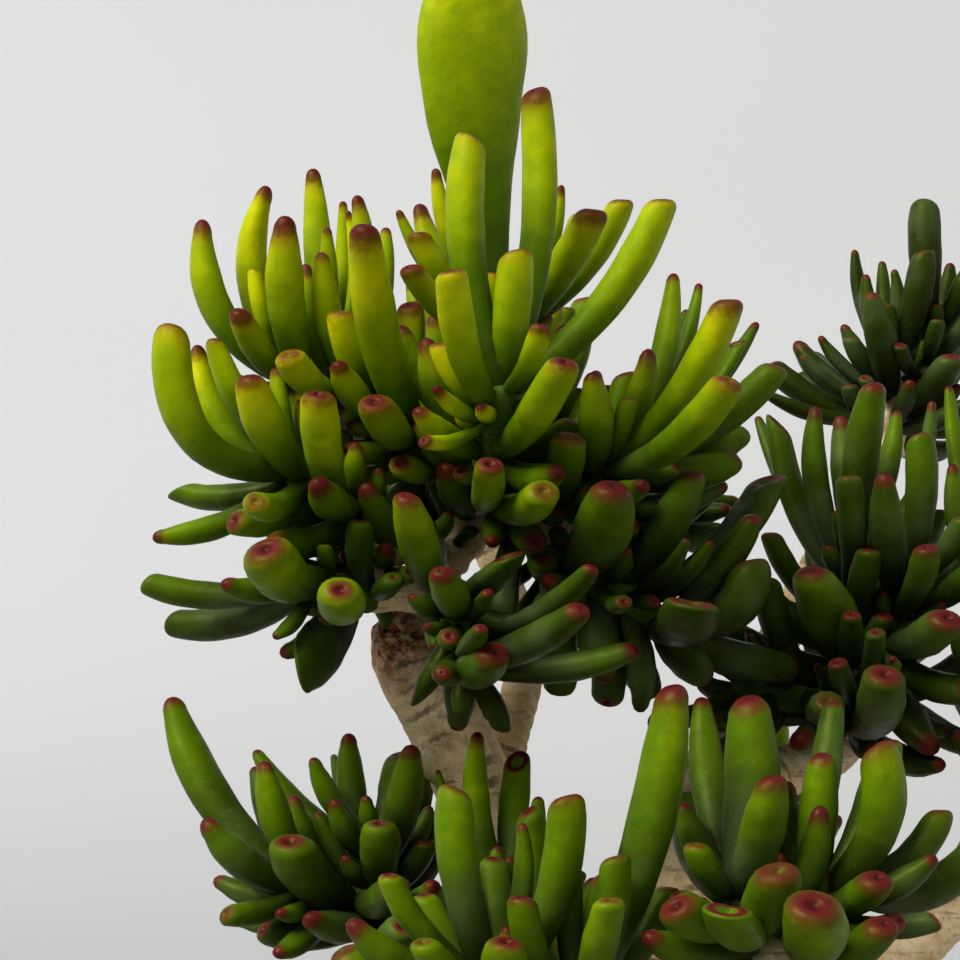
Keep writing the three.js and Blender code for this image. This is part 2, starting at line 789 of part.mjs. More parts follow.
// Every leaf of every head, the shown ones of all heads first
function growLeaves(routes) {
  const taken = [];
  Object.values(STEMS).forEach((rows) => {
    const curve = smoothCurve(rows.map(([x, y, z]) => new THREE.Vector3(x, y, z)));
    framesAlong(curve, SHOOT_SAMPLES).forEach(({ place }, k) => {
      const stretch = (k / SHOOT_SAMPLES) * (rows.length - 1);
      const row = Math.min(Math.floor(stretch), rows.length - 2);
      const radius = mix(rows[row][3], rows[row + 1][3], stretch - row);
      taken.push({ place, radius, u: 1, head: 'wood' });
    });
  });
  SIGHTS.forEach(([across, down, near, far, radius]) => {
    for (let depth = near; depth <= far; depth += SIGHT_STEP) {
      taken.push({ place: seen(across, down, depth), radius, u: 1, head: 'open' });
    }
  });
  routes.forEach(({ head, shoots }) => shoots.forEach(({ frames }) => {
    frames.forEach(({ place, radius }) => taken.push({ place, radius, u: 0, head: head.name }));
  }));
  const leaves = new Map(routes.map(({ head }) => [head.name, []]));
  routes.forEach(({ head, shoots }) => shoots.forEach(({ shoot, frames }) => {
    shoot.shown.forEach((row) => {
      const leaf = shownLeaf(row, frames, taken, head.name);
      leaves.get(head.name).push(leaf);
      taken.push(...leafBalls(leaf, head.name));
    });
  }));
  let count = 0;
  routes.forEach(({ head, shoots }) => shoots.forEach(({ shoot, frames }) => {
    leaves.get(head.name).push(...pairLeaves(shoot, frames, taken, head.name, count));
    count += 2 * shoot.pairs;
  }));
  return leaves;
}

const BUD_SHARE = 0.75;

// Leaf solid: rings along the bow, the last one slanted, with its middle cupped or bluntly pointed. A
// leaf over a given width has so many sides, whose corners stand proud so that its girth stays true.
const LONG_LEAF = 36;
const LEAF_SIDES = [
  { over: 12, sides: 8, proud: 1.04 },
  { over: 7.4, sides: 5, proud: 1.1 },
  { over: 3.4, sides: 4, proud: 1.14 },
  { over: 0, sides: 3, proud: 1.3 },
];

function leafSolid(leaf) {
  const { curve, inner, width, kind } = leaf;
  const { sides, proud } = LEAF_SIDES.find(({ over }) => width > over);
  const stations = leaf.length > LONG_LEAF ? [0, 0.36, 0.74, 1] : [0, 0.62, 1];
  const last = stations.length - 1;
  const rings = stations.map((u) => {
    const along = curve.getTangent(u);
    const over = squareTo(inner, along);
    const half = 0.5 * proud * width * girth(kind, u);
    return { place: curve.getPoint(u), along, over, side: over.clone().cross(along), half };
  });
  const ringAt = (k, across, over) => {
    const ring = rings[k];
    const slant = k === last ? -kind.slant * over * ring.half : 0;
    return ring.place.clone()
      .addScaledVector(ring.side, -across * ring.half)
      .addScaledVector(ring.over, over * ring.half * kind.flat)
      .addScaledVector(ring.along, slant);
  };
  const capAt = (k) => (k === last
    ? rings[last].place.clone().addScaledVector(rings[last].along, -kind.sink * width)
    : rings[0].place);
  return ringedSolid(sides, last, ringAt, capAt);
}

// Head: its shoots and leaves fused, clear of the wood. Each shoot runs on past its last leaves in a
// narrower bud, one radius long.
function headSolid({ shoots }, leaves, clearance) {
  const tubes = shoots.map(({ shoot, path, frames }) => {
    const radii = path.map((_, k) => mix(shoot.radius[0], shoot.radius[1], k / (path.length - 1)));
    const { place, along, radius } = frames[SHOOT_SAMPLES];
    const bud = place.clone().addScaledVector(along, radius);
    return tubeSolid([...path, bud], [...radii, BUD_SHARE * radius], 5);
  });
  return mainBody(join([...tubes, ...leaves.map(leafSolid)]).subtract(clearance));
}

// Pot profile, from the drain hole round the foot, up the outside and down the inside
function potGeometry() {
  const bodyTop = POT.height - POT.rimBand;
  const bodyRadius = POT.rimRadius - POT.rimProud;
  const inner = POT.rimRadius - POT.wall;
  const floorTop = POT.footHeight + POT.floor;
  const footInner = POT.footRadius - POT.footWidth;
  const profile = [
    [POT.drainRadius, POT.footHeight],
    [footInner - POT.rimLedge, POT.footHeight],
    [footInner, 0],
    [POT.footRadius, 0],
    [POT.footRadius + POT.footFlare, POT.footHeight],
    [bodyRadius, bodyTop - POT.rimLedge],
    [POT.rimRadius - POT.rimLedge, bodyTop],
    [POT.rimRadius, bodyTop + POT.rimLedge],
    [POT.rimRadius, POT.height - POT.rimRound],
    [POT.rimRadius - POT.rimRound, POT.height],
    [inner + POT.rimRound, POT.height],
    [inner, POT.height - POT.rimRound],
    [potInnerRadius(floorTop), floorTop],
    [POT.drainRadius, floorTop],
    [POT.drainRadius, POT.footHeight],
  ];
  return new THREE.LatheGeometry(profile.map(([r, z]) => new THREE.Vector2(r, z)), POT.facets);
}

// Inside radius of the pot at a height: a straight cone from the floor to the rim
function potInnerRadius(z) {
  const top = POT.height - POT.rimRound;
  const floorRadius = POT.footRadius - POT.floorInset;
  const share = (z - POT.footHeight - POT.floor) / (top - POT.footHeight - POT.floor);
  return mix(floorRadius, POT.rimRadius - POT.wall, share);
}

function soilGeometry() {
  const bottom = POT.footHeight + POT.floor + GAP;
  const edge = POT.height - SOIL.belowRim;
  const profile = [
    [0, bottom],
    [potInnerRadius(bottom) - GAP, bottom],
    [potInnerRadius(edge) - GAP, edge],
    ...[SOIL.shoulder, SOIL.slope, SOIL.top].map(([radius, share]) => [radius, edge + share * SOIL.heap]),
    [0, edge + SOIL.heap],
  ];
  return new THREE.LatheGeometry(profile.map(([r, z]) => new THREE.Vector2(r, z)), POT.facets);
}

// LatheGeometry turns about Y; the pot stands along Z.
function upright(geometry) {
  return geometry.rotateX(0.5 * Math.PI);
}

function named(name, geometry, color, roughness) {
  const material = new THREE.MeshStandardMaterial({ color, roughness, metalness: 0 });
  const mesh = new THREE.Mesh(geometry, material);
  mesh.name = name;
  return mesh;
}

const plant = new THREE.Group();

const wood = woodSolid();
const woodClearance = woodSolid(GAP);
const soil = solidOf(upright(soilGeometry())).subtract(woodClearance);
plant.add(named('pot', geometryOf(solidOf(upright(potGeometry()))), '#b5683f', 0.85));
plant.add(named('soil', geometryOf(mainBody(soil)), '#4a3a2c', 0.95));
plant.add(named('trunk', geometryOf(wood), '#a58a72', 0.75));

const routes = HEADS.map((head) => ({ head, shoots: shootRoutes(head) }));
const leaves = growLeaves(routes);
routes.forEach((route) => {
  const { name } = route.head;
  const solid = headSolid(route, leaves.get(name), woodClearance);
  plant.add(named(name, geometryOf(solid), '#5d8a1e', 0.4));
});

export default plant;
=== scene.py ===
# A hobbit jade: finger leaves crowded in heads on woody stems, in a clay pot of gritty soil.
# The tables are in millimetres and MM turns them into metres. +Z is up, and the front faces -Y.
import math
from collections import namedtuple

import bpy
import numpy as np
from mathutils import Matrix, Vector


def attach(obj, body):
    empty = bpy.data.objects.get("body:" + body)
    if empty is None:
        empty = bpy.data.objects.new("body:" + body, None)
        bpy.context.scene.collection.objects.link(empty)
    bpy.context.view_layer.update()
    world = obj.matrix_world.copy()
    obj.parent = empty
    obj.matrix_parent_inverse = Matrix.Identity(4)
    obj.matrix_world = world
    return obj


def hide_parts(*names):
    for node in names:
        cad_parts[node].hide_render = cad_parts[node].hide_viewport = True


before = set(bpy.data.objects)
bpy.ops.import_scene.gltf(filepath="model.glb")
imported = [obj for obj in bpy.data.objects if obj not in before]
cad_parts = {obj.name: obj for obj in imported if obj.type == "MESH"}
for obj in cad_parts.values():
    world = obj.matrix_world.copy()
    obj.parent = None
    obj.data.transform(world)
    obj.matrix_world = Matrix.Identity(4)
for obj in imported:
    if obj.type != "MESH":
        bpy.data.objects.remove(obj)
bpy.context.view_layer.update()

MM = 0.001

# Front view grid: [across, down] steps as seen from the viewpoint, and the depth behind the main stem.
# A step at the main stem is STEP wide.
VIEW_DISTANCE = 480
STEP = 0.17
MIDDLE = 480
VIEW_X = -28
VIEW_Z = 232

# Clearance between a head and the stem that it sits on
GAP = 0.35

# Leaf kinds. Girths are shares of the full width: neck at the root, full at the belly, mouth at the tip.
# flat is thickness over width, slant how much longer the outer side is. The tip is rounded over the share
# `round` of its half width, drawn out `peak` times, and dipped in the middle by the share `dip` of the width.
# swell is the power of the sine wave that widens it up to the belly, and bow how far it bows below its
# chord, as a share of its length.
Kind = namedtuple("Kind", "neck belly mouth swell flat slant bow round peak dip groove")
CUP = Kind(0.42, 0.74, 0.84, 1, 0.88, 0.3, 0.17, 0.6, 1.0, 0.09, 0.05)
HOOK = CUP._replace(bow=0.36)
CROOK = CUP._replace(bow=0.56)
TAPER = Kind(0.42, 0.62, 0.62, 1, 0.86, 0.25, 0.12, 0.8, 1.15, 0.03, 0.05)
ARCH = TAPER._replace(bow=-0.14)
POINT = Kind(0.4, 0.62, 0.46, 1, 0.86, 0.1, 0.17, 0.92, 1.35, 0.0, 0.03)
CLAW = POINT._replace(bow=0.32)
SPOON = Kind(0.45, 0.72, 0.86, 1, 0.66, 0.8, 0.17, 0.36, 0.8, 0.2, 0.22)
BROAD = Kind(0.26, 0.79, 0.5, 2, 0.42, 0, 0.1, 0.95, 1.0, 0.0, 0.1)

# Room kept between leaves of different heads, and how far apart leaves of one head stay, in leaf radii
HEAD_ROOM = 1.2
LEAF_PRESS = 1.1
# The root stretch of a leaf, in which it may touch leaves of its own head
ROOT_SHARE = 0.2
# How far from its shoot's axis a leaf starts, as a share of the shoot's radius
ROOT_SUNK = 0.5

# Stems: points of each middle line, with the radius there
STEMS = {
    "trunk": [
        (2, 1, 80, 15.4), (2, 1, 90, 15), (2, 0, 99, 14),
        (0, 0, 110, 12.2), (1, -1, 121, 11), (3, -1, 132, 9.4),
    ],
    "main": [
        (1, 0, 116, 9.4), (-7, 0, 134, 8.6), (-16, 1, 150, 7.8), (-26, 2, 171, 7.1), (-31.5, 3, 186, 6.7),
        (-36.5, 3, 194.5, 6.7), (-40, 3.5, 201, 6.5), (-39.5, 4, 206.5, 5.8), (-37.6, 4, 211, 5),
    ],
    "second": [
        (-25, 3, 169, 4.6), (-24, 14, 183, 3.8), (-20.5, 25, 197, 3.6),
        (-22, 33, 209, 3.4), (-27, 38, 221, 3.3), (-30, 40, 227, 3.2),
    ],
    "stub": [(-30, 1, 180, 3), (-36, -3, 183.5, 2.4), (-38.6, -4.4, 186.5, 2.1)],
    "right": [
        (2, -1, 120, 9.6), (6, -1, 140, 8.6), (6.5, 0, 158, 7.4), (8.5, 2, 171, 6.8), (13, 7, 180, 5.4),
    ],
    "right_fork": [(10, 4, 174, 5.6), (22, 12, 180, 4.8), (33, 20, 183, 4.3), (38, 24, 186, 4)],
    "far_right": [
        (12, 6, 177, 4.8), (20, 24, 192, 4.1), (31, 42, 210, 3.7), (43, 54, 227, 3.3), (49, 58, 237, 3),
    ],
    "front_right": [(4, -3, 128, 6), (10, -20, 140, 4.9), (17, -34, 148, 4.3), (20.5, -41, 153.5, 4)],
    "outer_right": [
        (5, 2, 128, 6.5), (23, 6, 137, 5.3), (42, 10, 147, 4.7), (54, 12, 157, 4.3), (61, 14, 170, 3.8),
    ],
    "left_low": [(-8, 0, 136, 5.4), (-24, 1, 143, 4.4), (-37, 2, 149, 3.9), (-43.5, 2, 155, 3.4)],
    "front_low": [(-1, -5, 126, 6), (-9, -24, 132, 4.9), (-16, -38, 138, 4.2), (-18, -45, 142.5, 3.8)],
    "back_low": [(4, 5, 128, 6), (11, 22, 138, 4.8), (15, 38, 146, 4.2), (16, 45, 152, 3.8)],
}

# Sight lines kept open through the leaves, as a view grid place, the depths from and to, and a radius
SIGHTS = [(471, 572, -60, 60, 2.8), (388, 640, -60, -10, 4.5)]
SIGHT_STEP = 5

# Heads: the stem that each sits on, and its shoots. A shoot's path gives view grid places, the first shoot
# starting on the stem and the others on those before them. radius is from start to end, pairs counts the
# leaf pairs that the rule adds, and reach is their length from the lowest pair to the top one. A shown leaf
# is given by its tip, the tip's depth, its root, its width in steps, its kind and a turn about its length.
HEADS = [
    {"name": "crown_head", "on": "main", "shoots": [
        {"path": [(438, 562, 4), (474, 520, 4), (492, 465, -10), (502, 402, -26)],
         "radius": (7.2, 7.2), "pairs": 0, "shown": [
             (451, 271, -46, 498, 428, 37, CUP), (565, 362, -48, 518, 462, 40, CUP),
             (541, 325, -40, 505, 402, 24, CUP), (472, 138, -28, 503, 385, 45, CUP),
             (535, 90, -18, 525, 340, 38, CUP), (662, 200, -30, 555, 402, 42, CUP),
             (423, 441, -38, 465, 412, 18, CUP), (436, 388, -34, 470, 425, 20, POINT),
             (490, 464, -36, 490, 505, 34, CUP), (447, 470, -28, 474, 520, 38, POINT),
             (544, 491, -38, 515, 500, 42, CUP)]},
        {"path": [(500, 430, 8), (505, 340, 8)],
         "radius": (7.2, 6.2), "pairs": 3, "reach": (30, 22), "shown": [
             (476, -44, 6, 508, 335, 118, BROAD, 90), (561, 187, 4, 555, 270, 18, POINT),
             (594, 210, -10, 548, 310, 38, CUP), (622, 200, -4, 552, 308, 34, CUP),
             (436, 171, 2, 443, 262, 22, POINT), (452, 171, -4, 463, 245, 13, POINT),
             (420, 208, 14, 432, 270, 30, POINT), (417, 233, 6, 428, 300, 29, CUP),
             (399, 212, 14, 412, 300, 18, POINT), (409, 267, -6, 432, 345, 29, CUP)]},
        {"path": [(430, 455, 4), (350, 398, 2), (286, 392, 0)],
         "radius": (6.6, 6), "pairs": 3, "reach": (30, 20), "shown": [
             (364, 226, -34, 420, 446, 46, TAPER), (357, 199, 0, 366, 300, 28, POINT),
             (343, 203, 10, 350, 290, 17, POINT), (348, 212, 4, 338, 295, 13, POINT),
             (327, 230, 6, 335, 320, 20, POINT), (313, 172, 6, 315, 300, 29, POINT),
             (285, 222, -14, 304, 395, 40, POINT), (266, 192, 2, 300, 392, 37, CLAW),
             (203, 226, 0, 290, 395, 38, CLAW), (255, 270, -4, 270, 340, 19, CUP),
             (238, 311, -10, 296, 440, 33, TAPER), (306, 268, -6, 335, 395, 25, POINT),
             (322, 257, -4, 362, 402, 32, POINT), (386, 230, 14, 380, 330, 22, POINT),
             (374, 402, -26, 395, 450, 42, CUP)]},
        {"path": [(390, 528, -2), (300, 482, -12)],
         "radius": (5.5, 5.5), "pairs": 3, "reach": (26, 20), "shown": [
             (173, 328, -26, 300, 486, 44, CROOK), (214, 340, -16, 290, 470, 32, TAPER),
             (249, 378, -26, 306, 482, 44, TAPER), (198, 350, -6, 290, 475, 32, CLAW),
             (277, 369, -18, 310, 470, 22, TAPER), (318, 394, -36, 332, 505, 41, CUP),
             (255, 502, -38, 300, 495, 34, CUP), (184, 490, -2, 280, 500, 44, SPOON),
             (157, 537, -16, 262, 545, 30, POINT)]},
        {"path": [(372, 592, -8), (318, 582, -18)],
         "radius": (5.5, 5.3), "pairs": 2, "reach": (20, 16), "shown": [
             (146, 582, -14, 285, 590, 33, CUP), (173, 622, -8, 305, 600, 38, CUP),
             (276, 636, -26, 300, 590, 18, POINT), (266, 549, -46, 302, 575, 58, CUP),
             (340, 590, -44, 336, 582, 50, CUP), (300, 666, -20, 352, 605, 66, SPOON, 70)]},
        {"path": [(450, 596, -12), (458, 630, -20), (466, 668, -18)],
         "radius": (5.5, 4.6), "pairs": 0, "shown": [
             (406, 497, -38, 438, 575, 44, TAPER), (441, 572, -44, 450, 610, 38, TAPER),
             (488, 592, -36, 460, 620, 20, TAPER), (507, 556, -26, 456, 600, 46, SPOON),
             (593, 567, -38, 464, 645, 30, TAPER), (581, 609, -42, 466, 660, 42, TAPER),
             (634, 649, -30, 466, 668, 36, TAPER), (481, 628, -46, 462, 655, 26, TAPER),
             (494, 653, -42, 466, 672, 50, TAPER), (442, 673, -38, 462, 655, 32, TAPER),
             (414, 690, -20, 458, 625, 40, SPOON), (461, 712, -22, 464, 660, 22, TAPER),
             (489, 716, -16, 466, 668, 20, POINT)]},
        {"path": [(545, 512, -4), (605, 478, -12)],
         "radius": (6.6, 6), "pairs": 3, "reach": (28, 20), "shown": [
             (729, 300, -28, 602, 460, 41, CUP), (730, 380, -40, 600, 482, 40, CUP),
             (673, 277, -4, 625, 420, 30, POINT), (699, 285, 6, 650, 400, 18, POINT),
             (686, 311, 10, 640, 410, 18, POINT), (756, 324, 8, 660, 430, 21, POINT),
             (737, 343, 2, 660, 440, 25, SPOON), (776, 366, -4, 660, 455, 38, CUP),
             (704, 369, 8, 650, 445, 18, POINT), (629, 398, -22, 605, 455, 22, CUP),
             (742, 432, -4, 610, 480, 44, TAPER), (675, 468, -26, 610, 490, 26, TAPER),
             (734, 458, -12, 610, 482, 48, TAPER)]},
        {"path": [(556, 566, -4), (618, 592, -12), (662, 630, -10)],
         "radius": (6.6, 6), "pairs": 3, "reach": (26, 20), "shown": [
             (612, 488, -38, 572, 572, 62, TAPER), (768, 480, 0, 640, 605, 48, SPOON),
             (692, 474, -20, 618, 592, 46, TAPER), (753, 517, -12, 664, 630, 36, TAPER),
             (686, 541, -26, 650, 580, 18, POINT), (710, 543, -22, 660, 585, 19, POINT),
             (624, 602, -30, 590, 600, 22, CUP), (692, 602, -36, 655, 636, 62, SPOON),
             (751, 563, -16, 655, 632, 52, CROOK), (604, 672, -14, 575, 600, 44, POINT),
             (650, 690, 2, 610, 600, 40, TAPER), (705, 672, -8, 650, 620, 46, TAPER),
             (607, 702, -10, 600, 598, 36, CUP), (792, 666, 0, 662, 630, 46, TAPER),
             (545, 562, -24, 500, 560, 38, POINT)]}]},
    {"name": "crown_back_head", "on": "second", "shoots": [
        {"path": [(470, 470, 46), (480, 420, 50), (474, 370, 52)],
         "radius": (5.9, 5.8), "pairs": 8, "reach": (28, 21), "shown": []},
        {"path": [(450, 450, 54), (370, 415, 58)],
         "radius": (5.5, 5.3), "pairs": 5, "reach": (26, 19), "shown": []},
        {"path": [(500, 440, 52), (590, 450, 50), (650, 520, 44)],
         "radius": (5.5, 5.3), "pairs": 5, "reach": (26, 19), "shown": []}]},
    {"name": "left_low_head", "on": "left_low", "shoots": [
        {"path": [(382, 905, 0), (376, 850, 0)],
         "radius": (4.8, 4.3), "pairs": 3, "reach": (24, 16), "shown": [
             (349, 738, 6, 370, 880, 30, POINT), (334, 756, 12, 356, 850, 16, POINT),
             (257, 753, 8, 350, 858, 26, POINT), (380, 824, -16, 405, 885, 42, CUP),
             (427, 841, -10, 410, 895, 28, CUP), (404, 926, -28, 390, 930, 43, CUP),
             (368, 948, -8, 385, 925, 30, POINT)]},
        {"path": [(345, 905, -4), (300, 892, -8)],
         "radius": (4.4, 4.3), "pairs": 2, "reach": (22, 16), "shown": [
             (173, 703, 4, 290, 880, 44, POINT), (210, 826, -8, 298, 896, 42, POINT),
             (256, 770, -2, 305, 870, 28, POINT), (295, 801, -4, 345, 898, 32, POINT),
             (290, 842, -20, 350, 915, 56, CUP)]}]},
    {"name": "front_low_head", "on": "front_low", "shoots": [
        {"path": [(510, 1030, -50), (490, 990, -52)],
         "radius": (5.5, 5.5), "pairs": 5, "reach": (26, 22), "shown": [
             (456, 789, -56, 468, 1000, 47, CUP), (566, 797, -56, 510, 1000, 46, CUP),
             (522, 826, -48, 498, 990, 23, POINT), (507, 942, -68, 498, 1010, 48, CUP)]},
        {"path": [(568, 1040, -50), (580, 1010, -52)],
         "radius": (5.5, 5.3), "pairs": 4, "reach": (26, 20), "shown": [
             (672, 688, -50, 580, 1010, 56, TAPER), (615, 857, -56, 606, 1000, 38, CUP),
             (610, 900, -70, 608, 1020, 38, CUP)]},
        {"path": [(520, 985, -34), (508, 910, -20)],
         "radius": (4.4, 4.1), "pairs": 1, "reach": (16, 14), "shown": [
             (478, 736, -18, 505, 905, 30, POINT), (517, 761, -14, 510, 900, 33, SPOON),
             (438, 771, -12, 500, 900, 14, POINT), (538, 800, -24, 512, 905, 24, POINT)]}]},
    {"name": "front_right_head", "on": "front_right", "shoots": [
        {"path": [(770, 955, -44), (738, 905, -46)],
         "radius": (5.3, 5.3), "pairs": 2, "reach": (18, 14), "shown": [
             (702, 702, -26, 730, 890, 37, POINT), (749, 702, -36, 736, 890, 58, TAPER),
             (772, 780, -52, 738, 905, 50, TAPER), (690, 795, -26, 722, 880, 50, CUP),
             (676, 906, -66, 730, 930, 50, CUP), (727, 909, -77, 740, 930, 58, SPOON),
             (779, 871, -68, 755, 925, 56, CUP)]},
        {"path": [(800, 940, -44), (830, 890, -44)],
         "radius": (5.3, 5.3), "pairs": 2, "reach": (18, 14), "shown": [
             (834, 703, -24, 790, 935, 34, TAPER), (822, 757, -38, 800, 920, 40, TAPER),
             (877, 748, -48, 812, 900, 50, HOOK), (888, 742, -38, 832, 880, 38, CUP),
             (940, 811, -42, 815, 880, 38, HOOK), (985, 842, -36, 845, 900, 44, HOOK),
             (878, 878, -58, 825, 915, 42, CUP), (814, 905, -77, 805, 940, 68, CUP),
             (899, 920, -56, 830, 940, 28, CUP), (937, 920, -50, 840, 930, 28, CUP)]}]},
    {"name": "right_head", "on": "right_fork", "shoots": [
        {"path": [(852, 705, 20), (850, 640, 18), (852, 560, 18)],
         "radius": (5.9, 5.8), "pairs": 8, "reach": (30, 22), "shown": [
             (874, 385, 12, 851, 565, 41, ARCH), (816, 411, 18, 850, 590, 31, POINT),
             (896, 414, 26, 855, 560, 25, POINT), (779, 424, 26, 848, 600, 40, SPOON),
             (758, 418, 36, 840, 580, 19, POINT), (812, 573, -10, 838, 665, 60, TAPER),
             (869, 550, 2, 855, 630, 30, CUP), (852, 614, -10, 850, 670, 24, CUP),
             (876, 632, -12, 855, 685, 24, CUP), (837, 662, -14, 848, 700, 24, CUP),
             (885, 674, -18, 852, 720, 50, CUP), (774, 600, 6, 840, 650, 40, POINT),
             (800, 740, -2, 845, 700, 44, POINT)]},
        {"path": [(846, 690, 16), (790, 700, 8), (742, 690, 4)],
         "radius": (4.6, 4.2), "pairs": 4, "reach": (22, 20), "shown": []},
        {"path": [(880, 650, 16), (905, 590, 14)],
         "radius": (5.5, 5.3), "pairs": 5, "reach": (28, 20), "shown": [
             (920, 436, 8, 903, 590, 35, CUP), (932, 403, 26, 908, 570, 18, POINT),
             (924, 487, 22, 905, 585, 22, POINT), (927, 547, -4, 900, 620, 32, CUP),
             (948, 618, -10, 895, 650, 44, CUP), (893, 659, -16, 885, 650, 18, POINT),
             (930, 745, 6, 880, 680, 44, POINT)]}]},
    {"name": "far_right_head", "on": "far_right", "shoots": [
        {"path": [(893, 410, 60), (886, 365, 62)],
         "radius": (5.1, 4.8), "pairs": 5, "reach": (22, 16), "shown": [
             (855, 252, 68, 880, 370, 18, POINT), (866, 277, 62, 882, 372, 18, POINT),
             (882, 263, 72, 886, 370, 16, POINT), (894, 272, 62, 890, 370, 18, POINT),
             (848, 331, 66, 876, 385, 17, POINT), (821, 338, 62, 878, 400, 17, POINT),
             (803, 357, 56, 880, 415, 18, POINT), (765, 393, 52, 882, 420, 19, POINT),
             (865, 378, 46, 884, 400, 17, CUP)]},
        {"path": [(915, 395, 62), (930, 345, 62)],
         "radius": (4.8, 4.6), "pairs": 5, "reach": (22, 16), "shown": [
             (925, 204, 60, 930, 350, 34, CUP), (950, 266, 68, 932, 350, 20, POINT),
             (900, 345, 48, 920, 380, 17, CUP), (938, 320, 52, 930, 370, 18, CUP)]}]},
    {"name": "outer_right_head", "on": "outer_right", "shoots": [
        {"path": [(1000, 752, 14), (1004, 685, 12), (1000, 615, 10)],
         "radius": (5.7, 5.5), "pairs": 9, "reach": (21.5, 18), "shown": [
             (953, 467, 18, 1008, 620, 24, POINT), (949, 388, 30, 1006, 610, 20, POINT)]}]},
    {"name": "back_low_head", "on": "back_low", "shoots": [
        {"path": [(742, 890, 54), (745, 830, 58)],
         "radius": (5.3, 5), "pairs": 6, "reach": (24, 19), "shown": []},
        {"path": [(720, 930, 58), (700, 890, 64)],
         "radius": (5.1, 4.8), "pairs": 4, "reach": (22, 17), "shown": []}]},
]


# Visible shoots are slimmer than the solid cores that carry the leaves, by shares at their start and end,
# and leaf necks are stouter.
SHOOT_SLIM = (0.75, 0.4)
STOUT_NECK = 0.3
SHOOT_SAMPLES = 32
LEAF_SAMPLES = 12

# A leaf's middle sags straight down, and outwards by a share of that. The tip of a leaf set by rule is
# raised by a share of the leaf's length.
SAG_OUT = 0.6
TIP_LIFT = 0.12

# What is tried in turn until a leaf stands clear: steps in depth for a shown leaf, degrees round the shoot
# for one set by rule. Whatever lies further from a leaf than its length and NEAR_LEAF is passed over.
SLIDES = (0, 3, -3, 6, -6, 9, -9, 12, 15)
SWINGS = (0, 14, -14, 28, -28, 42, -42)
NEAR_LEAF = 16

# Leaf pairs, from the lowest to the top one: width, and lean from the shoot in degrees. The lowest stands
# at the share PAIR_START of the shoot. Length and width are scattered between shares of the set ones, lean
# and heading over a number of degrees, and PAIR_CUPS of the leaves are cupped.
PAIR_WIDTH = (6.6, 5.2)
PAIR_LEAN = (78, 26)
PAIR_START = 0.3
PAIR_LONG = (0.82, 1.14)
PAIR_WIDE = (0.82, 1.1)
PAIR_TILT = 16
PAIR_TURN = 30
PAIR_CUPS = 0.62

# How young and how lit a head's leaves are painted, at its foot and at its top: 0 is old dark green, 1 young
# yellow-green. The step from foot to top is partly real age and partly painted shade under the upper leaves,
# and the darker heads, at the right and back, are painted as in the plant's shade. A leaf further left or
# further forward, towards the window light, is painted lighter, as one that is higher by these shares. Leaves
# up to the first percentile of FRESH_AND_LIGHT_SPREAD are painted like the foot, and those from the second on
# like the top.
LEFT_PAINTED_LIGHT = 0.2
FORWARD_PAINTED_LIGHT = 0.45
FRESH_AND_LIGHT_SPREAD = (12, 92)
FRESH_AND_LIGHT = {
    "crown_head": (0.26, 0.92),
    "crown_back_head": (0.2, 0.75),
    "left_low_head": (0.3, 0.54),
    "front_low_head": (0.34, 0.6),
    "front_right_head": (0.24, 0.6),
    "right_head": (0.1, 0.38),
    "far_right_head": (0.02, 0.16),
    "outer_right_head": (0.15, 0.45),
    "back_low_head": (0.25, 0.6),
}

# How far the red runs from the middle of a tip, in leaf widths up to a limit, from and to. Old and young
# leaves, and leaves painted lit and shaded, have different shares of it, and so has each head. Some cupped
# tips are paler again in their hollow.
RED_REACH = (0.36, 0.68)
RED_LIMIT = 9
RED_BY_FRESH_AND_LIGHT = (0.7, 1.3)
HOLLOW_SHARE = 0.3
HOLLOW_PALE = 0.6
RED_SHARE = {
    "crown_head": 0.82,
    "crown_back_head": 0.8,
    "left_low_head": 0.8,
    "front_low_head": 0.8,
    "front_right_head": 1.0,
    "right_head": 1.0,
    "far_right_head": 1.0,
    "outer_right_head": 1.0,
    "back_low_head": 0.8,
}

# Small leaves that fill a head between the set ones: tries per shoot, the first sample of the shoot that
# may carry one, length and width from and to, lean at the shoot's start and end, the share that is pointed,
# and how far they stay from others, in leaf radii
FILL_TRIES = 60
FILL_START = 2
FILL_LENGTH = (8, 25)
FILL_WIDTH = (3, 6.6)
FILL_LEAN = (82, 34)
FILL_POINTS = 0.6
FILL_PRESS = 0.92

# Owners of taken room that are no heads: the stems, and the sight lines
WOOD = -1
OPEN = -2


def seen(across, down, depth):
    """Point that shows at (across, down) on the view grid: a step grows in proportion to the distance."""
    step = STEP * (VIEW_DISTANCE + depth) / VIEW_DISTANCE
    return np.array([VIEW_X + (across - MIDDLE) * step, depth, VIEW_Z - (down - MIDDLE) * step])


def scatter(n, salt):
    """Repeatable scatter from 0 to 1: the far decimals of a sine of the count n and the use salt."""
    wave = np.sin(np.asarray(n) * 12.9898 + salt * 78.233) * 43758.5453
    return wave - np.floor(wave)


def mix(a, b, share):
    """Value at a share of the way from a to b."""
    return a + (b - a) * share


def smooth(low, high, x):
    """Smooth step: 0 below low, 1 above high, and a cubic with level ends between."""
    t = np.clip((x - low) / (high - low), 0, 1)
    return t * t * (3 - 2 * t)


def dot(a, b):
    """Dot products over the last axis."""
    return np.sum(a * b, axis=-1, keepdims=True)


def unit(v):
    """Directions of vectors, one unit long."""
    return v / np.sqrt(dot(v, v))


def square_to(v, along):
    """Part of v at right angles to the unit vector along, one unit long."""
    return unit(v - dot(v, along) * along)


def turned(v, axis, angle):
    """v turned about a unit axis: its parts in the plane turn, and its part along the axis stays."""
    return v * np.cos(angle) + np.cross(axis, v) * np.sin(angle) + axis * dot(axis, v) * (1 - np.cos(angle))


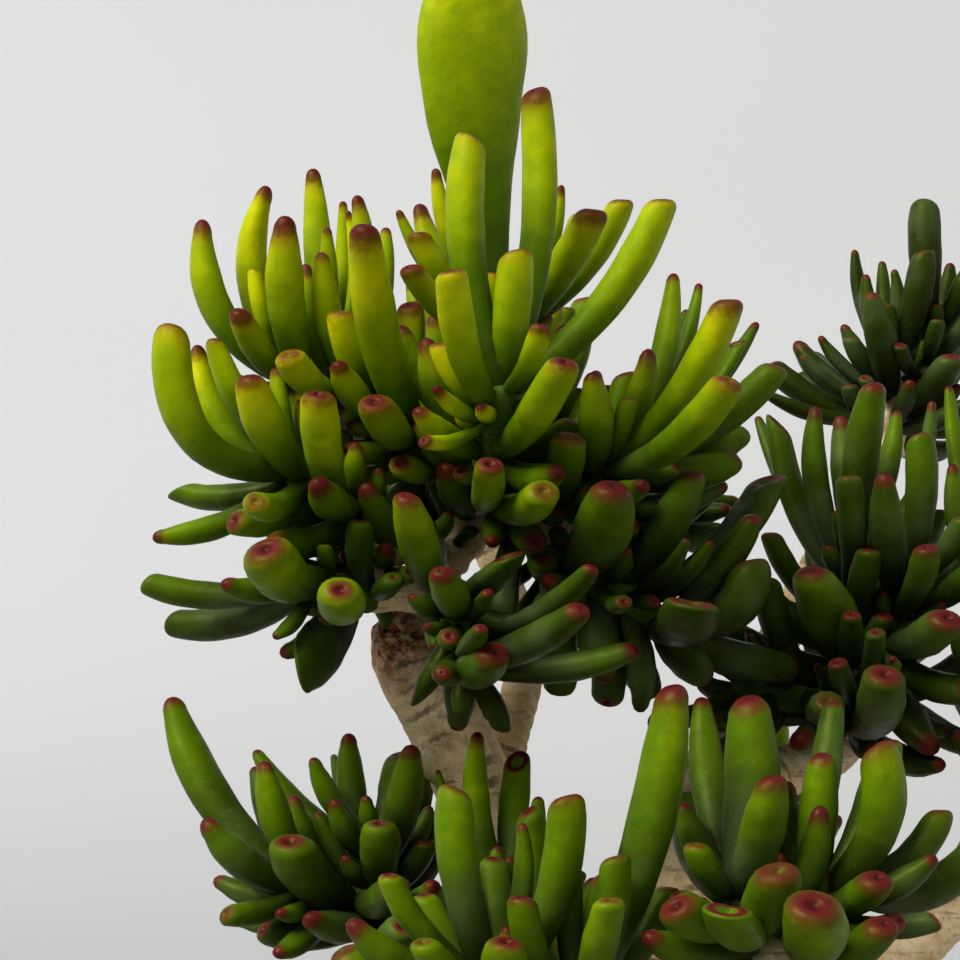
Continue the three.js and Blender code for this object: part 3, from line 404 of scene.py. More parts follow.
def lumps(points, cell, salt):
    """Smooth noise from -1 to 1 with lumps one cell across: scattered values at the corners of a cubic
    grid, blended by smooth steps along the three axes."""
    place = np.asarray(points) / cell
    corner = np.floor(place)
    blend = place - corner
    blend = blend * blend * (3 - 2 * blend)
    total = 0
    for dx in (0, 1):
        for dy in (0, 1):
            for dz in (0, 1):
                near = np.where((dx, dy, dz), blend, 1 - blend).prod(axis=-1)
                count = (corner + (dx, dy, dz)) @ (1.0, 57.0, 113.0)
                total = total + near * scatter(count, salt)
    return 2 * total - 1


def rough(points, grain, salt):
    """Sum of smooth noises, each given as a pair of a lump size and a height."""
    return sum(height * lumps(points, size, salt + k) for k, (size, height) in enumerate(grain))


def quadratic(u, start, control, end):
    """Point at the share u of the quadratic curve from start to end, which both head for control."""
    return (1 - u) ** 2 * start + 2 * u * (1 - u) * control + u * u * end


def angles(sides):
    """Even angles round a circle."""
    return 2 * np.pi * np.arange(sides) / sides


def circles(radius, height, angle):
    """Points of level circles about the upright axis."""
    return np.stack([radius * np.cos(angle), radius * np.sin(angle), height + 0 * angle], axis=-1)


def tube_rings(place, side, over, radius, angle):
    """Rings of a tube: from each place, the cosine of the angle goes to one side and its sine over it."""
    return (place[:, None] + side[:, None] * (np.cos(angle) * radius[:, None])[..., None]
            + over[:, None] * (np.sin(angle) * radius[:, None])[..., None])


def smooth_curve(points):
    """Smooth curve through points. Between two neighbours it is the cubic that leaves each of them along
    half the step from the point before it to the point after it; the end steps are repeated outwards."""
    points = np.array(points, float)
    padded = np.vstack([2 * points[0] - points[1], points, 2 * points[-1] - points[-2]])
    last = len(points) - 2

    def place(t):
        stretch = np.clip(t, 0, 1) * (last + 1)
        k = np.minimum(np.floor(stretch).astype(int), last)
        w = (stretch - k)[..., None]
        before, start, end, after = (padded[k + i] for i in range(4))
        leave, arrive = (end - before) / 2, (after - start) / 2
        bend = 3 * (end - start) - 2 * leave - arrive
        return start + w * (leave + w * (bend + w * (2 * (start - end) + leave + arrive)))

    return place


Frames = namedtuple("Frames", "place along side over")


def frames_along(curve, steps):
    """Frames at even shares of a curve. Each cross direction is the last one, made square to the curve."""
    share = np.arange(steps + 1) / steps
    place = curve(share)
    along = unit(curve(share + 1e-4) - curve(share - 1e-4))
    sides = [np.array([1.0, 0.0, 0.0])]
    for direction in along:
        sides.append(square_to(sides[-1], direction))
    side = np.array(sides[1:])
    return Frames(place, along, side, np.cross(side, along))


def girth(kind, u):
    """Width at the share u of a leaf, as a share of its full width: a quarter sine wave, raised to a power,
    swells it from the neck to the belly, and a square law narrows it to the mouth."""
    wave = np.sin(0.5 * np.pi * np.minimum(u / kind.belly, 1))
    swell = kind.neck + (1 - kind.neck) * wave ** kind.swell
    narrow = 1 - (1 - kind.mouth) * ((u - kind.belly) / (1 - kind.belly)) ** 2
    return np.where(u < kind.belly, swell, narrow)


Leaf = namedtuple("Leaf", "head axis root control tip inner width kind count small")


def make_leaf(head, axis_place, sunk, tip, width, kind, turn=0, count=0, small=False):
    """A leaf along a quadratic curve. Its root is sunk in the shoot, its middle bows down and outwards by a
    share of its length, and its inner side is the hollow side of that bow, turned about the leaf."""
    root = axis_place + unit(tip - axis_place) * sunk
    chord = tip - root
    length = np.linalg.norm(chord)
    along = chord / length
    outward = unit(np.array([chord[0], chord[1], 0.001]))
    bow = square_to(SAG_OUT * outward - (0, 0, 1), along)
    control = root + chord / 2 + bow * kind.bow * length
    inner = turned(-bow, along, math.radians(turn))
    return Leaf(head, axis_place, root, control, tip, inner, width, kind, count, small)


def bowed(leaf, u):
    """Points at the shares u of a leaf's quadratic curve."""
    return quadratic(np.asarray(u)[..., None], leaf.root, leaf.control, leaf.tip)


def balls_along(frames, radius, share, owner):
    """Balls strung along a stem or shoot, with the same columns as those of a leaf."""
    return np.column_stack([frames.place, radius, np.tile([share, owner], (len(radius), 1))])


def leaf_balls(leaf):
    """Balls strung along a leaf, which stand for it when its room is tested: x, y, z, radius, share, head."""
    u = (np.arange(LEAF_SAMPLES) + 0.5) / LEAF_SAMPLES
    radius = 0.5 * leaf.width * girth(leaf.kind, u) * math.sqrt(leaf.kind.flat)
    return np.column_stack([bowed(leaf, u), radius, u, np.full(LEAF_SAMPLES, leaf.head)])


def is_clear(leaf, taken, press=LEAF_PRESS):
    """Whether a leaf's balls keep their room from those taken. Roots may touch in one head and at wood."""
    near = np.linalg.norm(leaf.tip - leaf.root) + NEAR_LEAF
    taken = taken[np.abs(taken[:, :3] - leaf.control).max(axis=1) < near]
    balls = leaf_balls(leaf)[:, None, :]
    gap = np.sqrt(((balls[..., :3] - taken[:, :3]) ** 2).sum(axis=-1))
    room = balls[..., 3] + taken[:, 3]
    own = balls[..., 5] == taken[:, 5]
    room = np.where(own, room * press, room + HEAD_ROOM)
    at_root = balls[..., 4] < ROOT_SHARE
    free = own & (at_root | (taken[:, 4] < ROOT_SHARE)) | (at_root & (taken[:, 5] == WOOD))
    return bool(np.all(free | (gap > room)))


def first_clear(candidates, taken, press=LEAF_PRESS):
    """The first candidate that is clear, or None."""
    return next((leaf for leaf in candidates if is_clear(leaf, taken, press)), None)


def stem_end(name):
    """Where a head starts: just past the end of its stem."""
    frames = frames_along(smooth_curve([row[:3] for row in STEMS[name]]), 1)
    return frames.place[-1] + frames.along[-1] * GAP


def shoot_routes(head):
    """Routes of a head's shoots: the first starts on the head's stem, the others on those before them."""
    grown = []
    routes = []
    for shoot in head["shoots"]:
        path = [seen(*place) for place in shoot["path"]]
        start = stem_end(head["on"])
        if grown:
            places = np.vstack(grown)
            start = places[np.argmin(np.linalg.norm(places - path[0], axis=1))]
        frames = frames_along(smooth_curve([start, *path]), SHOOT_SAMPLES)
        radius = mix(*shoot["radius"], np.arange(SHOOT_SAMPLES + 1) / SHOOT_SAMPLES)
        grown.append(frames.place)
        routes.append((shoot, frames, radius))
    return routes


def shown_leaf(head, row, frames, radius, taken):
    """A shown leaf keeps its place in the front view, and slides along the line of sight till it is clear."""
    tip_across, tip_down, depth, root_across, root_down, width, kind = row[:7]
    turn = row[7] if len(row) > 7 else 0
    target = np.array([seen(root_across, root_down, y) for y in frames.place[:, 1]])
    k = np.argmin(np.linalg.norm(frames.place - target, axis=1))
    candidates = []
    for slide in SLIDES:
        tip_depth = depth + slide
        real_width = width * STEP * (VIEW_DISTANCE + tip_depth) / VIEW_DISTANCE
        tip = seen(tip_across, tip_down, tip_depth)
        count = tip_across + 7 * tip_down
        leaf = make_leaf(head, frames.place[k], ROOT_SUNK * radius[k], tip, real_width, kind, turn, count)
        candidates.append(leaf)
    leaf = first_clear(candidates, taken) or candidates[0]
    return leaf, np.vstack([taken, leaf_balls(leaf)])


def leaf_round(head, frames, radius, k, length, width, kind, lean, heading, count, small=False):
    """Candidates for a leaf at frame k of a shoot: all lean out by one angle and swing round it by others."""
    candidates = []
    for swing in SWINGS:
        turn = math.radians(heading + swing)
        out = frames.side[k] * math.cos(turn) + frames.over[k] * math.sin(turn)
        tip = frames.place[k] + length * (frames.along[k] * math.cos(lean) + out * math.sin(lean))
        tip = tip + (0, 0, TIP_LIFT * length)
        leaf = make_leaf(head, frames.place[k], ROOT_SUNK * radius[k], tip, width, kind, 0, count, small)
        candidates.append(leaf)
    return candidates


def pair_leaves(head, shoot, frames, radius, taken, count):
    """Leaves in crosswise pairs: each pair is a quarter turn on from the last, and leans in more towards
    the end of the shoot. A leaf that would cross another swings round the shoot until it is clear."""
    leaves = []
    for k in range(shoot["pairs"] * 2):
        pair = k // 2
        share = pair / (shoot["pairs"] - 1) if shoot["pairs"] > 1 else 1
        station = math.floor(mix(PAIR_START, 1, share) * SHOOT_SAMPLES + 0.5)
        n = count + k
        length = mix(*shoot["reach"], share) * mix(*PAIR_LONG, scatter(n, 1))
        width = mix(*PAIR_WIDTH, share) * mix(*PAIR_WIDE, scatter(n, 2))
        lean = math.radians(mix(*PAIR_LEAN, share) + PAIR_TILT * (scatter(n, 3) - 0.5))
        kind = CUP if scatter(n, 4) < PAIR_CUPS else POINT
        heading = 90 * pair + 180 * (k % 2) + PAIR_TURN * (scatter(n, 5) - 0.5)
        candidates = leaf_round(head, frames, radius, station, length, width, kind, lean, heading, n)
        leaf = first_clear(candidates, taken)
        if leaf:
            leaves.append(leaf)
            taken = np.vstack([taken, leaf_balls(leaf)])
    return leaves, taken


def fill_leaves(head, frames, radius, taken, count):
    """Small leaves at scattered places round a shoot, wherever one stands clear of the rest."""
    leaves = []
    for k in range(FILL_TRIES):
        n = count + k
        station = int(mix(FILL_START, SHOOT_SAMPLES, scatter(n, 11)))
        share = scatter(n, 12)
        lean = math.radians(mix(*FILL_LEAN, station / SHOOT_SAMPLES))
        kind = POINT if scatter(n, 13) < FILL_POINTS else CUP
        heading = 360 * scatter(n, 14)
        candidates = leaf_round(head, frames, radius, station, mix(*FILL_LENGTH, share),
                                mix(*FILL_WIDTH, share), kind, lean, heading, n, True)
        leaf = first_clear(candidates, taken, FILL_PRESS)
        if leaf:
            leaves.append(leaf)
            taken = np.vstack([taken, leaf_balls(leaf)])
    return leaves, taken


def stem_frames(rows, steps):
    """Frames and radii along a stem; the radius runs straight between the stem's points."""
    frames = frames_along(smooth_curve([row[:3] for row in rows]), steps)
    at = np.arange(steps + 1) / steps * (len(rows) - 1)
    return frames, np.interp(at, np.arange(len(rows)), [row[3] for row in rows])


def grow_leaves(routes):
    """Every leaf of every head: the shown ones of all heads first, then the pairs, then the small ones."""
    shoots = [(head, *shoot) for head, group in enumerate(routes) for shoot in group]
    taken = []
    for rows in STEMS.values():
        taken.append(balls_along(*stem_frames(rows, SHOOT_SAMPLES), 1, WOOD))
    for across, down, near, far, radius in SIGHTS:
        places = [seen(across, down, depth) for depth in range(near, far + 1, SIGHT_STEP)]
        taken += [[(*place, radius, 1, OPEN)] for place in places]
    for head, _, frames, radius in shoots:
        taken.append(balls_along(frames, radius, 0, head))
    taken = np.vstack(taken)
    leaves = [[] for _ in routes]
    for head, shoot, frames, radius in shoots:
        for row in shoot["shown"]:
            leaf, taken = shown_leaf(head, row, frames, radius, taken)
            leaves[head].append(leaf)
    count = 0
    for head, shoot, frames, radius in shoots:
        grown, taken = pair_leaves(head, shoot, frames, radius, taken, count)
        leaves[head] += grown
        count += 2 * shoot["pairs"]
    for head, _, frames, radius in shoots:
        grown, taken = fill_leaves(head, frames, radius, taken, count)
        leaves[head] += grown
        count += FILL_TRIES
    return leaves


# Meshes

def tube_faces(tubes, rings, sides):
    """Faces of closed tubes whose points are stored tube by tube: a grid of rings by sides, then a root pole
    and a tip pole. Four-sided faces join the rings, and three-sided ones close both ends."""
    size = rings * sides + 2
    start = (np.arange(tubes) * size)[:, None]
    k, a = np.meshgrid(np.arange(rings - 1), np.arange(sides), indexing="ij")
    here, there = k * sides, (k + 1) * sides
    after = (a + 1) % sides
    quads = np.stack([here + a, here + after, there + after, there + a], axis=-1).reshape(1, -1, 4)
    around = np.arange(sides)
    after = (around + 1) % sides
    root = np.stack([np.full(sides, size - 2), after, around], axis=-1)
    top = (rings - 1) * sides
    tip = np.stack([np.full(sides, size - 1), top + around, top + after], axis=-1)
    tris = np.concatenate([root, tip])[None]
    return (start[..., None] + quads).reshape(-1, 4), (start[..., None] + tris).reshape(-1, 3)


def add_mesh(name, points, quads, tris, layers, material=None):
    """Mesh object in metres from points in millimetres, faces and named point layers, shaded smooth."""
    mesh = bpy.data.meshes.new(name)
    corners = np.concatenate([quads.ravel(), tris.ravel()]).astype(np.int32)
    starts = np.concatenate([4 * np.arange(len(quads)), 4 * len(quads) + 3 * np.arange(len(tris))])
    mesh.vertices.add(len(points))
    mesh.vertices.foreach_set("co", (points * MM).astype(np.float32).ravel())
    mesh.loops.add(len(corners))
    mesh.loops.foreach_set("vertex_index", corners)
    mesh.polygons.add(len(starts))
    mesh.polygons.foreach_set("loop_start", starts.astype(np.int32))
    mesh.update(calc_edges=True)
    mesh.shade_smooth()
    for layer, values in layers.items():
        mesh.attributes.new(layer, "FLOAT", "POINT").data.foreach_set("value", values.astype(np.float32))
    if material:
        mesh.materials.append(material)
    thing = bpy.data.objects.new(name, mesh)
    bpy.context.scene.collection.objects.link(thing)
    return thing


# A leaf's rings stand by this power of even shares, and its stout neck ends at the share STOUT_END
BODY_SPACING = 0.8
STOUT_END = 0.55
# Irregular growth of a leaf: turns about its length, sideways bend as a share of its length, slow and quick
# waves of its girth as a height and a count, and the groove's width in radians
LEAF_TWIST = 0.9
LEAF_BEND = 0.07
SLOW_WAVE = (0.022, 1.7)
QUICK_WAVE = (0.014, 4.3)
GROOVE_WIDTH = 0.55
# How far a mouth's slant and a pointed tip's surplus reach, in leaf widths
SLANT_REACH = 1.1
POINT_REACH = 0.06
# The kinds' dips from which a mouth has a hollow, and from which the red is a ring along the rim; then the
# width of the pale middle and of that ring, in leaf widths
HOLLOW_DIP = 0.05
RING_DIP = 0.15
PALE_WIDTH = 0.24
RING_WIDTH = 0.1


def leaf_profile(kinds, width, length, rows):
    """Shares along the leaves and half widths of their rings, for body, rounded tip and dip, and the shares
    at which the body ends and the tip's middle lies. The body follows the girth, at the tip a quarter
    ellipse rounds the rings in, and a cosine dip leads to the middle."""
    body, cap, dip = rows
    drawn = kinds.round * kinds.peak * 0.5 * width * kinds.mouth / length
    end = 1 + np.where(kinds.dip == 0, POINT_REACH * width / length, 0) - drawn
    share = np.linspace(0, 1, body)[None] ** BODY_SPACING * end
    stout = STOUT_NECK * (1 - kinds.neck) * (1 - smooth(0, STOUT_END, share)) * (kinds.swell == 1)
    half = 0.5 * width * (girth(kinds, share) + stout)
    rim = half[:, -1:]
    turn = np.linspace(0, np.pi / 2, cap + 1)[None, 1:]
    inward = 1 - (np.arange(1, dip + 1) / (dip + 1))[None]
    half = np.hstack([half, rim * (1 - kinds.round * (1 - np.cos(turn))), rim * (1 - kinds.round) * inward])
    sunk = kinds.dip * width * 0.5 * (1 - np.cos(np.pi * (1 - inward)))
    crest = kinds.round * kinds.peak * rim
    share = np.hstack([share, end + crest * np.sin(turn) / length, end + (crest - sunk) / length])
    return share, half, end, end + (crest - kinds.dip * width) / length


def tip_red(kinds, width, travel, rim_travel, n, red_share):
    """Red of the rings, by the way over the skin from the tip's middle: a bell about the middle, paler again
    within the hollow of some cupped tips, and a ring along the rim of a spoon."""
    reach = np.minimum(width, RED_LIMIT) * mix(*RED_REACH, scatter(n, 26)) * red_share[:, None]
    hollow = HOLLOW_PALE * (kinds.dip > HOLLOW_DIP) * (scatter(n, 28) < HOLLOW_SHARE)
    spot = np.exp(-(travel / reach) ** 1.8) * (1 - hollow * np.exp(-(travel / (PALE_WIDTH * width)) ** 2))
    ring = np.exp(-((travel - rim_travel) / (RING_WIDTH * width)) ** 2)
    return np.where(kinds.dip > RING_DIP, ring, spot)


def leaf_grids(leaves, fresh_and_lit, red_share, sides, rows):
    """Points and layers of leaves on one grid. Rings follow each leaf's quadratic curve. Each ring is an
    ellipse with a groove along the inner side, its upper side drawn back by the slant, and slow sine waves
    swell and bend the whole."""
    column = lambda values: np.array(values, float)[:, None]
    kinds = Kind(*(column(values) for values in zip(*(leaf.kind for leaf in leaves))))
    width = column([leaf.width for leaf in leaves])
    root, control, tip, inner, axis = (
        np.array([getattr(leaf, part) for leaf in leaves])[:, None]
        for part in ("root", "control", "tip", "inner", "axis"))
    length = np.linalg.norm(tip - root, axis=-1)
    n = column([leaf.count for leaf in leaves])
    share, half, end, middle = leaf_profile(kinds, width, length, rows)

    u = share[..., None]
    place = quadratic(u, root, control, tip)
    along = unit((1 - u) * (control - root) + u * (tip - control))
    over = square_to(inner, along)
    twist = ((scatter(n, 21) - 0.5) * np.where(kinds.swell == 1, LEAF_TWIST, 0))[..., None] * u
    over = turned(over, along, twist)
    side = np.cross(over, along)
    bend = ((scatter(n, 22) - 0.5) * LEAF_BEND * length)[..., None] * np.sin(np.pi * np.minimum(u, 1))
    place = place + side * bend

    angle = angles(sides)
    level = np.sin(angle)
    inner_side = np.exp(-((angle - np.pi / 2) / GROOVE_WIDTH) ** 2)
    groove = kinds.groove[..., None] * smooth(0.3, 0.95, u) * inner_side
    slow, quick, phase = (2 * np.pi * scatter(n, salt)[..., None] for salt in (23, 25, 24))
    wave = SLOW_WAVE[0] * np.sin(2 * np.pi * SLOW_WAVE[1] * u + slow) * np.cos(angle + phase)
    wave = wave + QUICK_WAVE[0] * np.sin(2 * np.pi * QUICK_WAVE[1] * u + quick)
    swell = (1 + wave - groove) * half[..., None]
    lean = smooth(end[..., None] - SLANT_REACH * (width / length)[..., None], end[..., None], u)
    shift = -kinds.slant[..., None] * lean * level * half[..., None]
    points = (place[:, :, None] + side[:, :, None] * (np.cos(angle) * swell)[..., None]
              + over[:, :, None] * (level * swell * kinds.flat[..., None])[..., None]
              + along[:, :, None] * shift[..., None])

    tip_pole = quadratic(middle, root[:, 0], control[:, 0], tip[:, 0])

    step = np.hypot(np.diff(np.hstack([half, 0 * length])), np.diff(np.hstack([share, middle])) * length)
    travel = np.cumsum(step[:, ::-1], axis=1)[:, ::-1]
    travel = np.hstack([travel, 0 * length])
    body, cap, _ = rows
    red = tip_red(kinds, width, travel, travel[:, body + cap - 1:body + cap], n, red_share)
    flat_layers = {
        "red": (np.repeat(red[:, :-1, None], sides, axis=2), np.zeros_like(length), red[:, -1:]),
        "along": (np.repeat(u, sides, axis=2), np.zeros_like(length), np.ones_like(length)),
    }
    # The layer of each leaf's age also carries its painted light and shade.
    for name, values in (("fresh_and_lit", fresh_and_lit[:, None]), ("tone", scatter(n, 27))):
        spread = np.broadcast_to(values[..., None], u.shape[:2] + (sides,))
        flat_layers[name] = (spread, values, values)
    stack = lambda grid, low, high: np.hstack([grid.reshape(len(leaves), -1), low, high]).ravel()
    layers = {name: stack(*parts) for name, parts in flat_layers.items()}
    points = np.concatenate([points.reshape(len(leaves), -1, 3), axis, tip_pole[:, None]], axis=1)
    return points.reshape(-1, 3), layers, tube_faces(len(leaves), share.shape[1], sides)


SHOOT_SIDES = 14
SHOOT_ROWS = 46
BUD_ROWS = 4
BUD_LENGTH = 1.2
# Swellings of a shoot: their spacing, their height as a share of the radius, and small lumps
KNOT_SPACING = 5.5
KNOT_RISE = 0.06
SHOOT_GRAIN = (3.1, 0.25)
# Shares of a shoot between which its bark turns green, and how much greener a head's later shoots are
GREENING = (0.25, 0.9)
LATER_GREEN = 0.35


def shoot_grids(routes):
    """Points and layers of a head's shoots: round tubes with low swellings at even spacing, each ended by a
    blunt bud, a quarter ellipse one radius long."""
    groups = []
    for number, (shoot, frames, radius) in enumerate(routes):
        share = np.linspace(0, 1, SHOOT_ROWS)
        spots = np.arange(SHOOT_SAMPLES + 1) / SHOOT_SAMPLES
        part = lambda values: np.column_stack([np.interp(share, spots, values[:, i]) for i in range(3)])
        place, along, side = part(frames.place), part(frames.along), part(frames.side)
        along = unit(along)
        side = square_to(side, along)
        over = np.cross(side, along)
        half = mix(*SHOOT_SLIM, share) * np.interp(share, spots, radius)
        length = np.linalg.norm(np.diff(frames.place, axis=0), axis=1).sum()
        half = half * (1 + KNOT_RISE * np.cos(2 * np.pi * share * length / KNOT_SPACING))
        turn = np.linspace(0, np.pi / 2, BUD_ROWS + 2)[1:-1]
        place = np.vstack([place, place[-1] + along[-1] * (np.sin(turn) * half[-1] * BUD_LENGTH)[:, None]])
        side, over = (np.vstack([v, np.repeat(v[-1:], len(turn), axis=0)]) for v in (side, over))
        half = np.append(half, half[-1] * np.cos(turn))
        points = tube_rings(place, side, over, half, angles(SHOOT_SIDES))
        points = points + rough(points, [SHOOT_GRAIN], 5 + number)[..., None] * unit(points - place[:, None])
        bud = place[-1] + along[-1] * half[-2] * 0.3
        green = np.append(share, np.ones(BUD_ROWS)) + (0 if number == 0 else LATER_GREEN)
        green = np.repeat(smooth(*GREENING, green)[:, None], SHOOT_SIDES, axis=1)
        start = place[0] - along[0] * 0.2
        groups.append((np.vstack([points.reshape(-1, 3), start, bud]),
                       np.concatenate([green.ravel(), green[0, :1], [1.0]])))
    points = np.vstack([points for points, _ in groups])
    green = np.concatenate([green for _, green in groups])
    return points, {"green": green}, tube_faces(len(routes), SHOOT_ROWS + BUD_ROWS, SHOOT_SIDES)


def fused(name, points, quads, tris, voxel):
    """One closed skin round overlapping closed tubes, as points in millimetres and four-sided faces."""
    tubes = add_mesh(name, points, quads, tris, {})
    skin = tubes.modifiers.new("skin", "REMESH")
    skin.mode = "VOXEL"
    skin.voxel_size = voxel * MM
    evaluated = tubes.evaluated_get(bpy.context.evaluated_depsgraph_get())
    mesh = evaluated.to_mesh()
    places = np.zeros(3 * len(mesh.vertices), np.float32)
    mesh.vertices.foreach_get("co", places)
    corners = np.zeros(len(mesh.loops), np.int32)
    mesh.loops.foreach_get("vertex_index", corners)
    evaluated.to_mesh_clear()
    tube_mesh = tubes.data
    bpy.data.objects.remove(tubes)
    bpy.data.meshes.remove(tube_mesh)
    return places.reshape(-1, 3).astype(float) / MM, corners.reshape(-1, 4)


def relaxed(points, quads, turns):
    """Points moved to the mean of their neighbours along the faces' edges, a number of times."""
    edges = np.concatenate([quads[:, [k, (k + 1) % 4]] for k in range(4)])
    neighbours = np.bincount(edges[:, 0], minlength=len(points))[:, None]
    for _ in range(turns):
        total = np.column_stack([
            np.bincount(edges[:, 0], weights=points[edges[:, 1], i], minlength=len(points))
            for i in range(3)])
        points = 0.4 * points + 0.6 * total / neighbours
    return points


def point_normals(points, quads):
    """Outward directions at the points: the sum of the cross products of the faces' diagonals."""
    cross = np.cross(points[quads[:, 2]] - points[quads[:, 0]], points[quads[:, 3]] - points[quads[:, 1]])
    total = np.column_stack([
        np.bincount(quads.ravel(), weights=np.repeat(cross[:, i], 4), minlength=len(points))
        for i in range(3)])
    return unit(total)


WOOD_SIDES = 28
WOOD_ROWS = 64
WOOD_VOXEL = 0.62
WOOD_RELAXING = 6
# Ring scars that fallen leaves have left: spacing on a stem of SCAR_STEM radius, height, and half width of
# the ridge and of the furrow, which runs SCAR_FURROW further on. They waver by lumps of a size and a height,
# and each stem's scars start SCAR_START further on than the last one's.
SCAR_SPACING = 4.6
SCAR_STEM = 7
SCAR_HEIGHT = 0.24
SCAR_WIDTH = (0.6, 0.4)
SCAR_FURROW = 0.95
SCAR_WAVER = (8, 1.1)
SCAR_START = 31.7
# Lumps of the wood as pairs of size and height. Two sets of buttresses at the trunk's foot: how many, where
# they start in radians and how far they stand out, fading between two levels.
WOOD_GRAIN = [(8, 0.4), (2.8, 0.18), (1.1, 0.07)]
BUTTRESSES = ((5, 0.6, 0.7), (3, 2.1, 0.5))
BUTTRESS_FADE = (118, 92)
# Rough reddish patch on the main stem under the crown: its view grid place and radius, and its scales and
# flecks as pairs of size and height
FLAKE_PLACE = (388, 636, -2)
FLAKE_RADIUS = 8
FLAKE_GRAIN = ((2.2, 0.9), (1.2, 0.5))


def nearest_stem(points, samples):
    """For each point the nearest sample of the stems' middle lines, counted in stem radii."""
    picks = []
    for part in np.array_split(points, max(1, len(points) // 6000)):
        gap = np.linalg.norm(part[:, None] - samples[None, :, :3], axis=2) / samples[None, :, 3]
        picks.append(np.argmin(gap, axis=1))
    return samples[np.concatenate(picks)]


def wood_surface():
    """Points, faces and layers of the stems: tubes fused in one skin and relaxed, then raised along their
    normals by ring scars across the stem, slow lumps, buttresses at the foot and a rough flaky patch."""
    groups = []
    samples = []
    for number, rows in enumerate(STEMS.values()):
        frames, radius = stem_frames(rows, WOOD_ROWS)
        points = tube_rings(frames.place, frames.side, frames.over, radius, angles(WOOD_SIDES))
        groups.append(np.vstack([points.reshape(-1, 3), frames.place[:1], frames.place[-1:]]))
        steps = np.linalg.norm(np.diff(frames.place, axis=0), axis=1)
        along = np.concatenate([[0], np.cumsum(steps)]) + SCAR_START * number
        samples.append(np.column_stack([frames.place, radius, along]))
    quads, tris = tube_faces(len(groups), WOOD_ROWS + 1, WOOD_SIDES)
    points, quads = fused("wood_core", np.vstack(groups), quads, tris, WOOD_VOXEL)
    points = relaxed(points, quads, WOOD_RELAXING)
    near = nearest_stem(points, np.vstack(samples))
    radius, along = near[:, 3], near[:, 4] + rough(points, [SCAR_WAVER], 41)
    spacing = SCAR_SPACING * np.sqrt(radius / SCAR_STEM)
    off = (along / spacing - np.round(along / spacing)) * spacing
    strength = 0.55 + 0.45 * lumps(points, 7, 42)
    ridge, furrow = SCAR_WIDTH
    ring = np.exp(-(off / ridge) ** 2) - 0.9 * np.exp(-((off - SCAR_FURROW) / furrow) ** 2)
    foot = smooth(*BUTTRESS_FADE, points[:, 2])
    heading = np.arctan2(points[:, 1], points[:, 0] - 2)
    flake = np.exp(-(np.linalg.norm(points - seen(*FLAKE_PLACE), axis=1) / FLAKE_RADIUS) ** 4)
    rise = SCAR_HEIGHT * strength * ring + rough(points, WOOD_GRAIN, 43)
    rise += foot * sum(height * np.sin(count * heading + start) for count, start, height in BUTTRESSES)
    (scale, scale_height), (fleck, fleck_height) = FLAKE_GRAIN
    rise += flake * (scale_height * np.maximum(lumps(points, scale, 46), 0)
                     + fleck_height * lumps(points, fleck, 47))
    points = points + point_normals(points, quads) * (rise * np.minimum(1, radius / 5))[:, None]
    layers = {"ring": strength * np.exp(-((off - 0.9) / 0.5) ** 2), "flake": flake,
              "green": np.zeros(len(points))}
    return points, quads, layers


# Pot and soil
POT_HEIGHT = 105
RIM_RADIUS = 65
RIM_BAND = 19
RIM_PROUD = 3.5
POT_WALL = 6.5
FOOT_RADIUS = 45.5
FOOT_WIDTH = 8.5
FOOT_HEIGHT = 2.5
POT_FLOOR = 8
DRAIN_RADIUS = 6
POT_SIDES = 176
# Turning ripples of the clay as a height and a pitch, how they waver, and its lumps and grain
RIPPLE = (0.1, 2.4)
RIPPLE_WAVER = (30, 0.5)
CLAY_LUMPS = (9, 0.14)
CLAY_GRAIN = (1.6, 0.05)
# Chips of the rim: their size, and how deep they bite within the top of the pot
CHIP_SIZE = 4.5
CHIP_DEPTH = 0.7
CHIP_REACH = 2

# Soil below the rim, its heap towards the trunk as radii and shares of the heap, and its crumbs
SOIL_DEPTH = 13
SOIL_HEAP = 4
HEAP_RADII = [0, 18, 34, 52, 60]
HEAP_SHARES = [1, 1, 0.8, 0.35, 0]
CRUMBS = [(7, 0.9), (2.6, 0.7), (1.2, 0.35)]
SOIL_SIDES = 200
SOIL_ROWS = 84

# Loose grit: how many grains, their sizes, their stretch along three axes, the depth and size of their
# dents, and how far they stay from the trunk and from the pot
PEBBLES = 520
PEBBLE_SIZE = (0.6, 2.3)
PEBBLE_STRETCH = ((0.8, 1.25), (0.8, 1.2), (0.55, 0.85))
PEBBLE_DENTS = (0.8, 0.22)
PEBBLE_FROM = 17
PEBBLE_EDGE = 2.5
PEBBLE_SIDES = 7
PEBBLE_ROWS = 4


def rounded(corners, radius, spacing):
    """Closed outline through corners, each rounded by a quadratic curve that starts and ends at most radius
    from it, with points at even spacing."""
    corners = np.array(corners, float)
    route = []
    for before, corner, after in zip(np.roll(corners, 1, axis=0), corners, np.roll(corners, -1, axis=0)):
        cut = [min(radius, 0.45 * np.linalg.norm(end - corner)) for end in (before, after)]
        start = corner + unit(before - corner) * cut[0]
        end = corner + unit(after - corner) * cut[1]
        route.append(quadratic(np.linspace(0, 1, 7)[:, None], start, corner, end))
    route = np.vstack([*route, route[0][:1]])
    far = np.concatenate([[0], np.cumsum(np.linalg.norm(np.diff(route, axis=0), axis=1))])
    at = np.linspace(0, far[-1], int(far[-1] / spacing), endpoint=False)
    return np.column_stack([np.interp(at, far, route[:, i]) for i in range(2)])


def pot_inner(z):
    """Inside radius of the pot at a height: a straight cone from the floor to the rim."""
    floor = FOOT_HEIGHT + POT_FLOOR
    share = (z - floor) / (POT_HEIGHT - 2.2 - floor)
    return mix(FOOT_RADIUS - 5.5, RIM_RADIUS - POT_WALL, share)


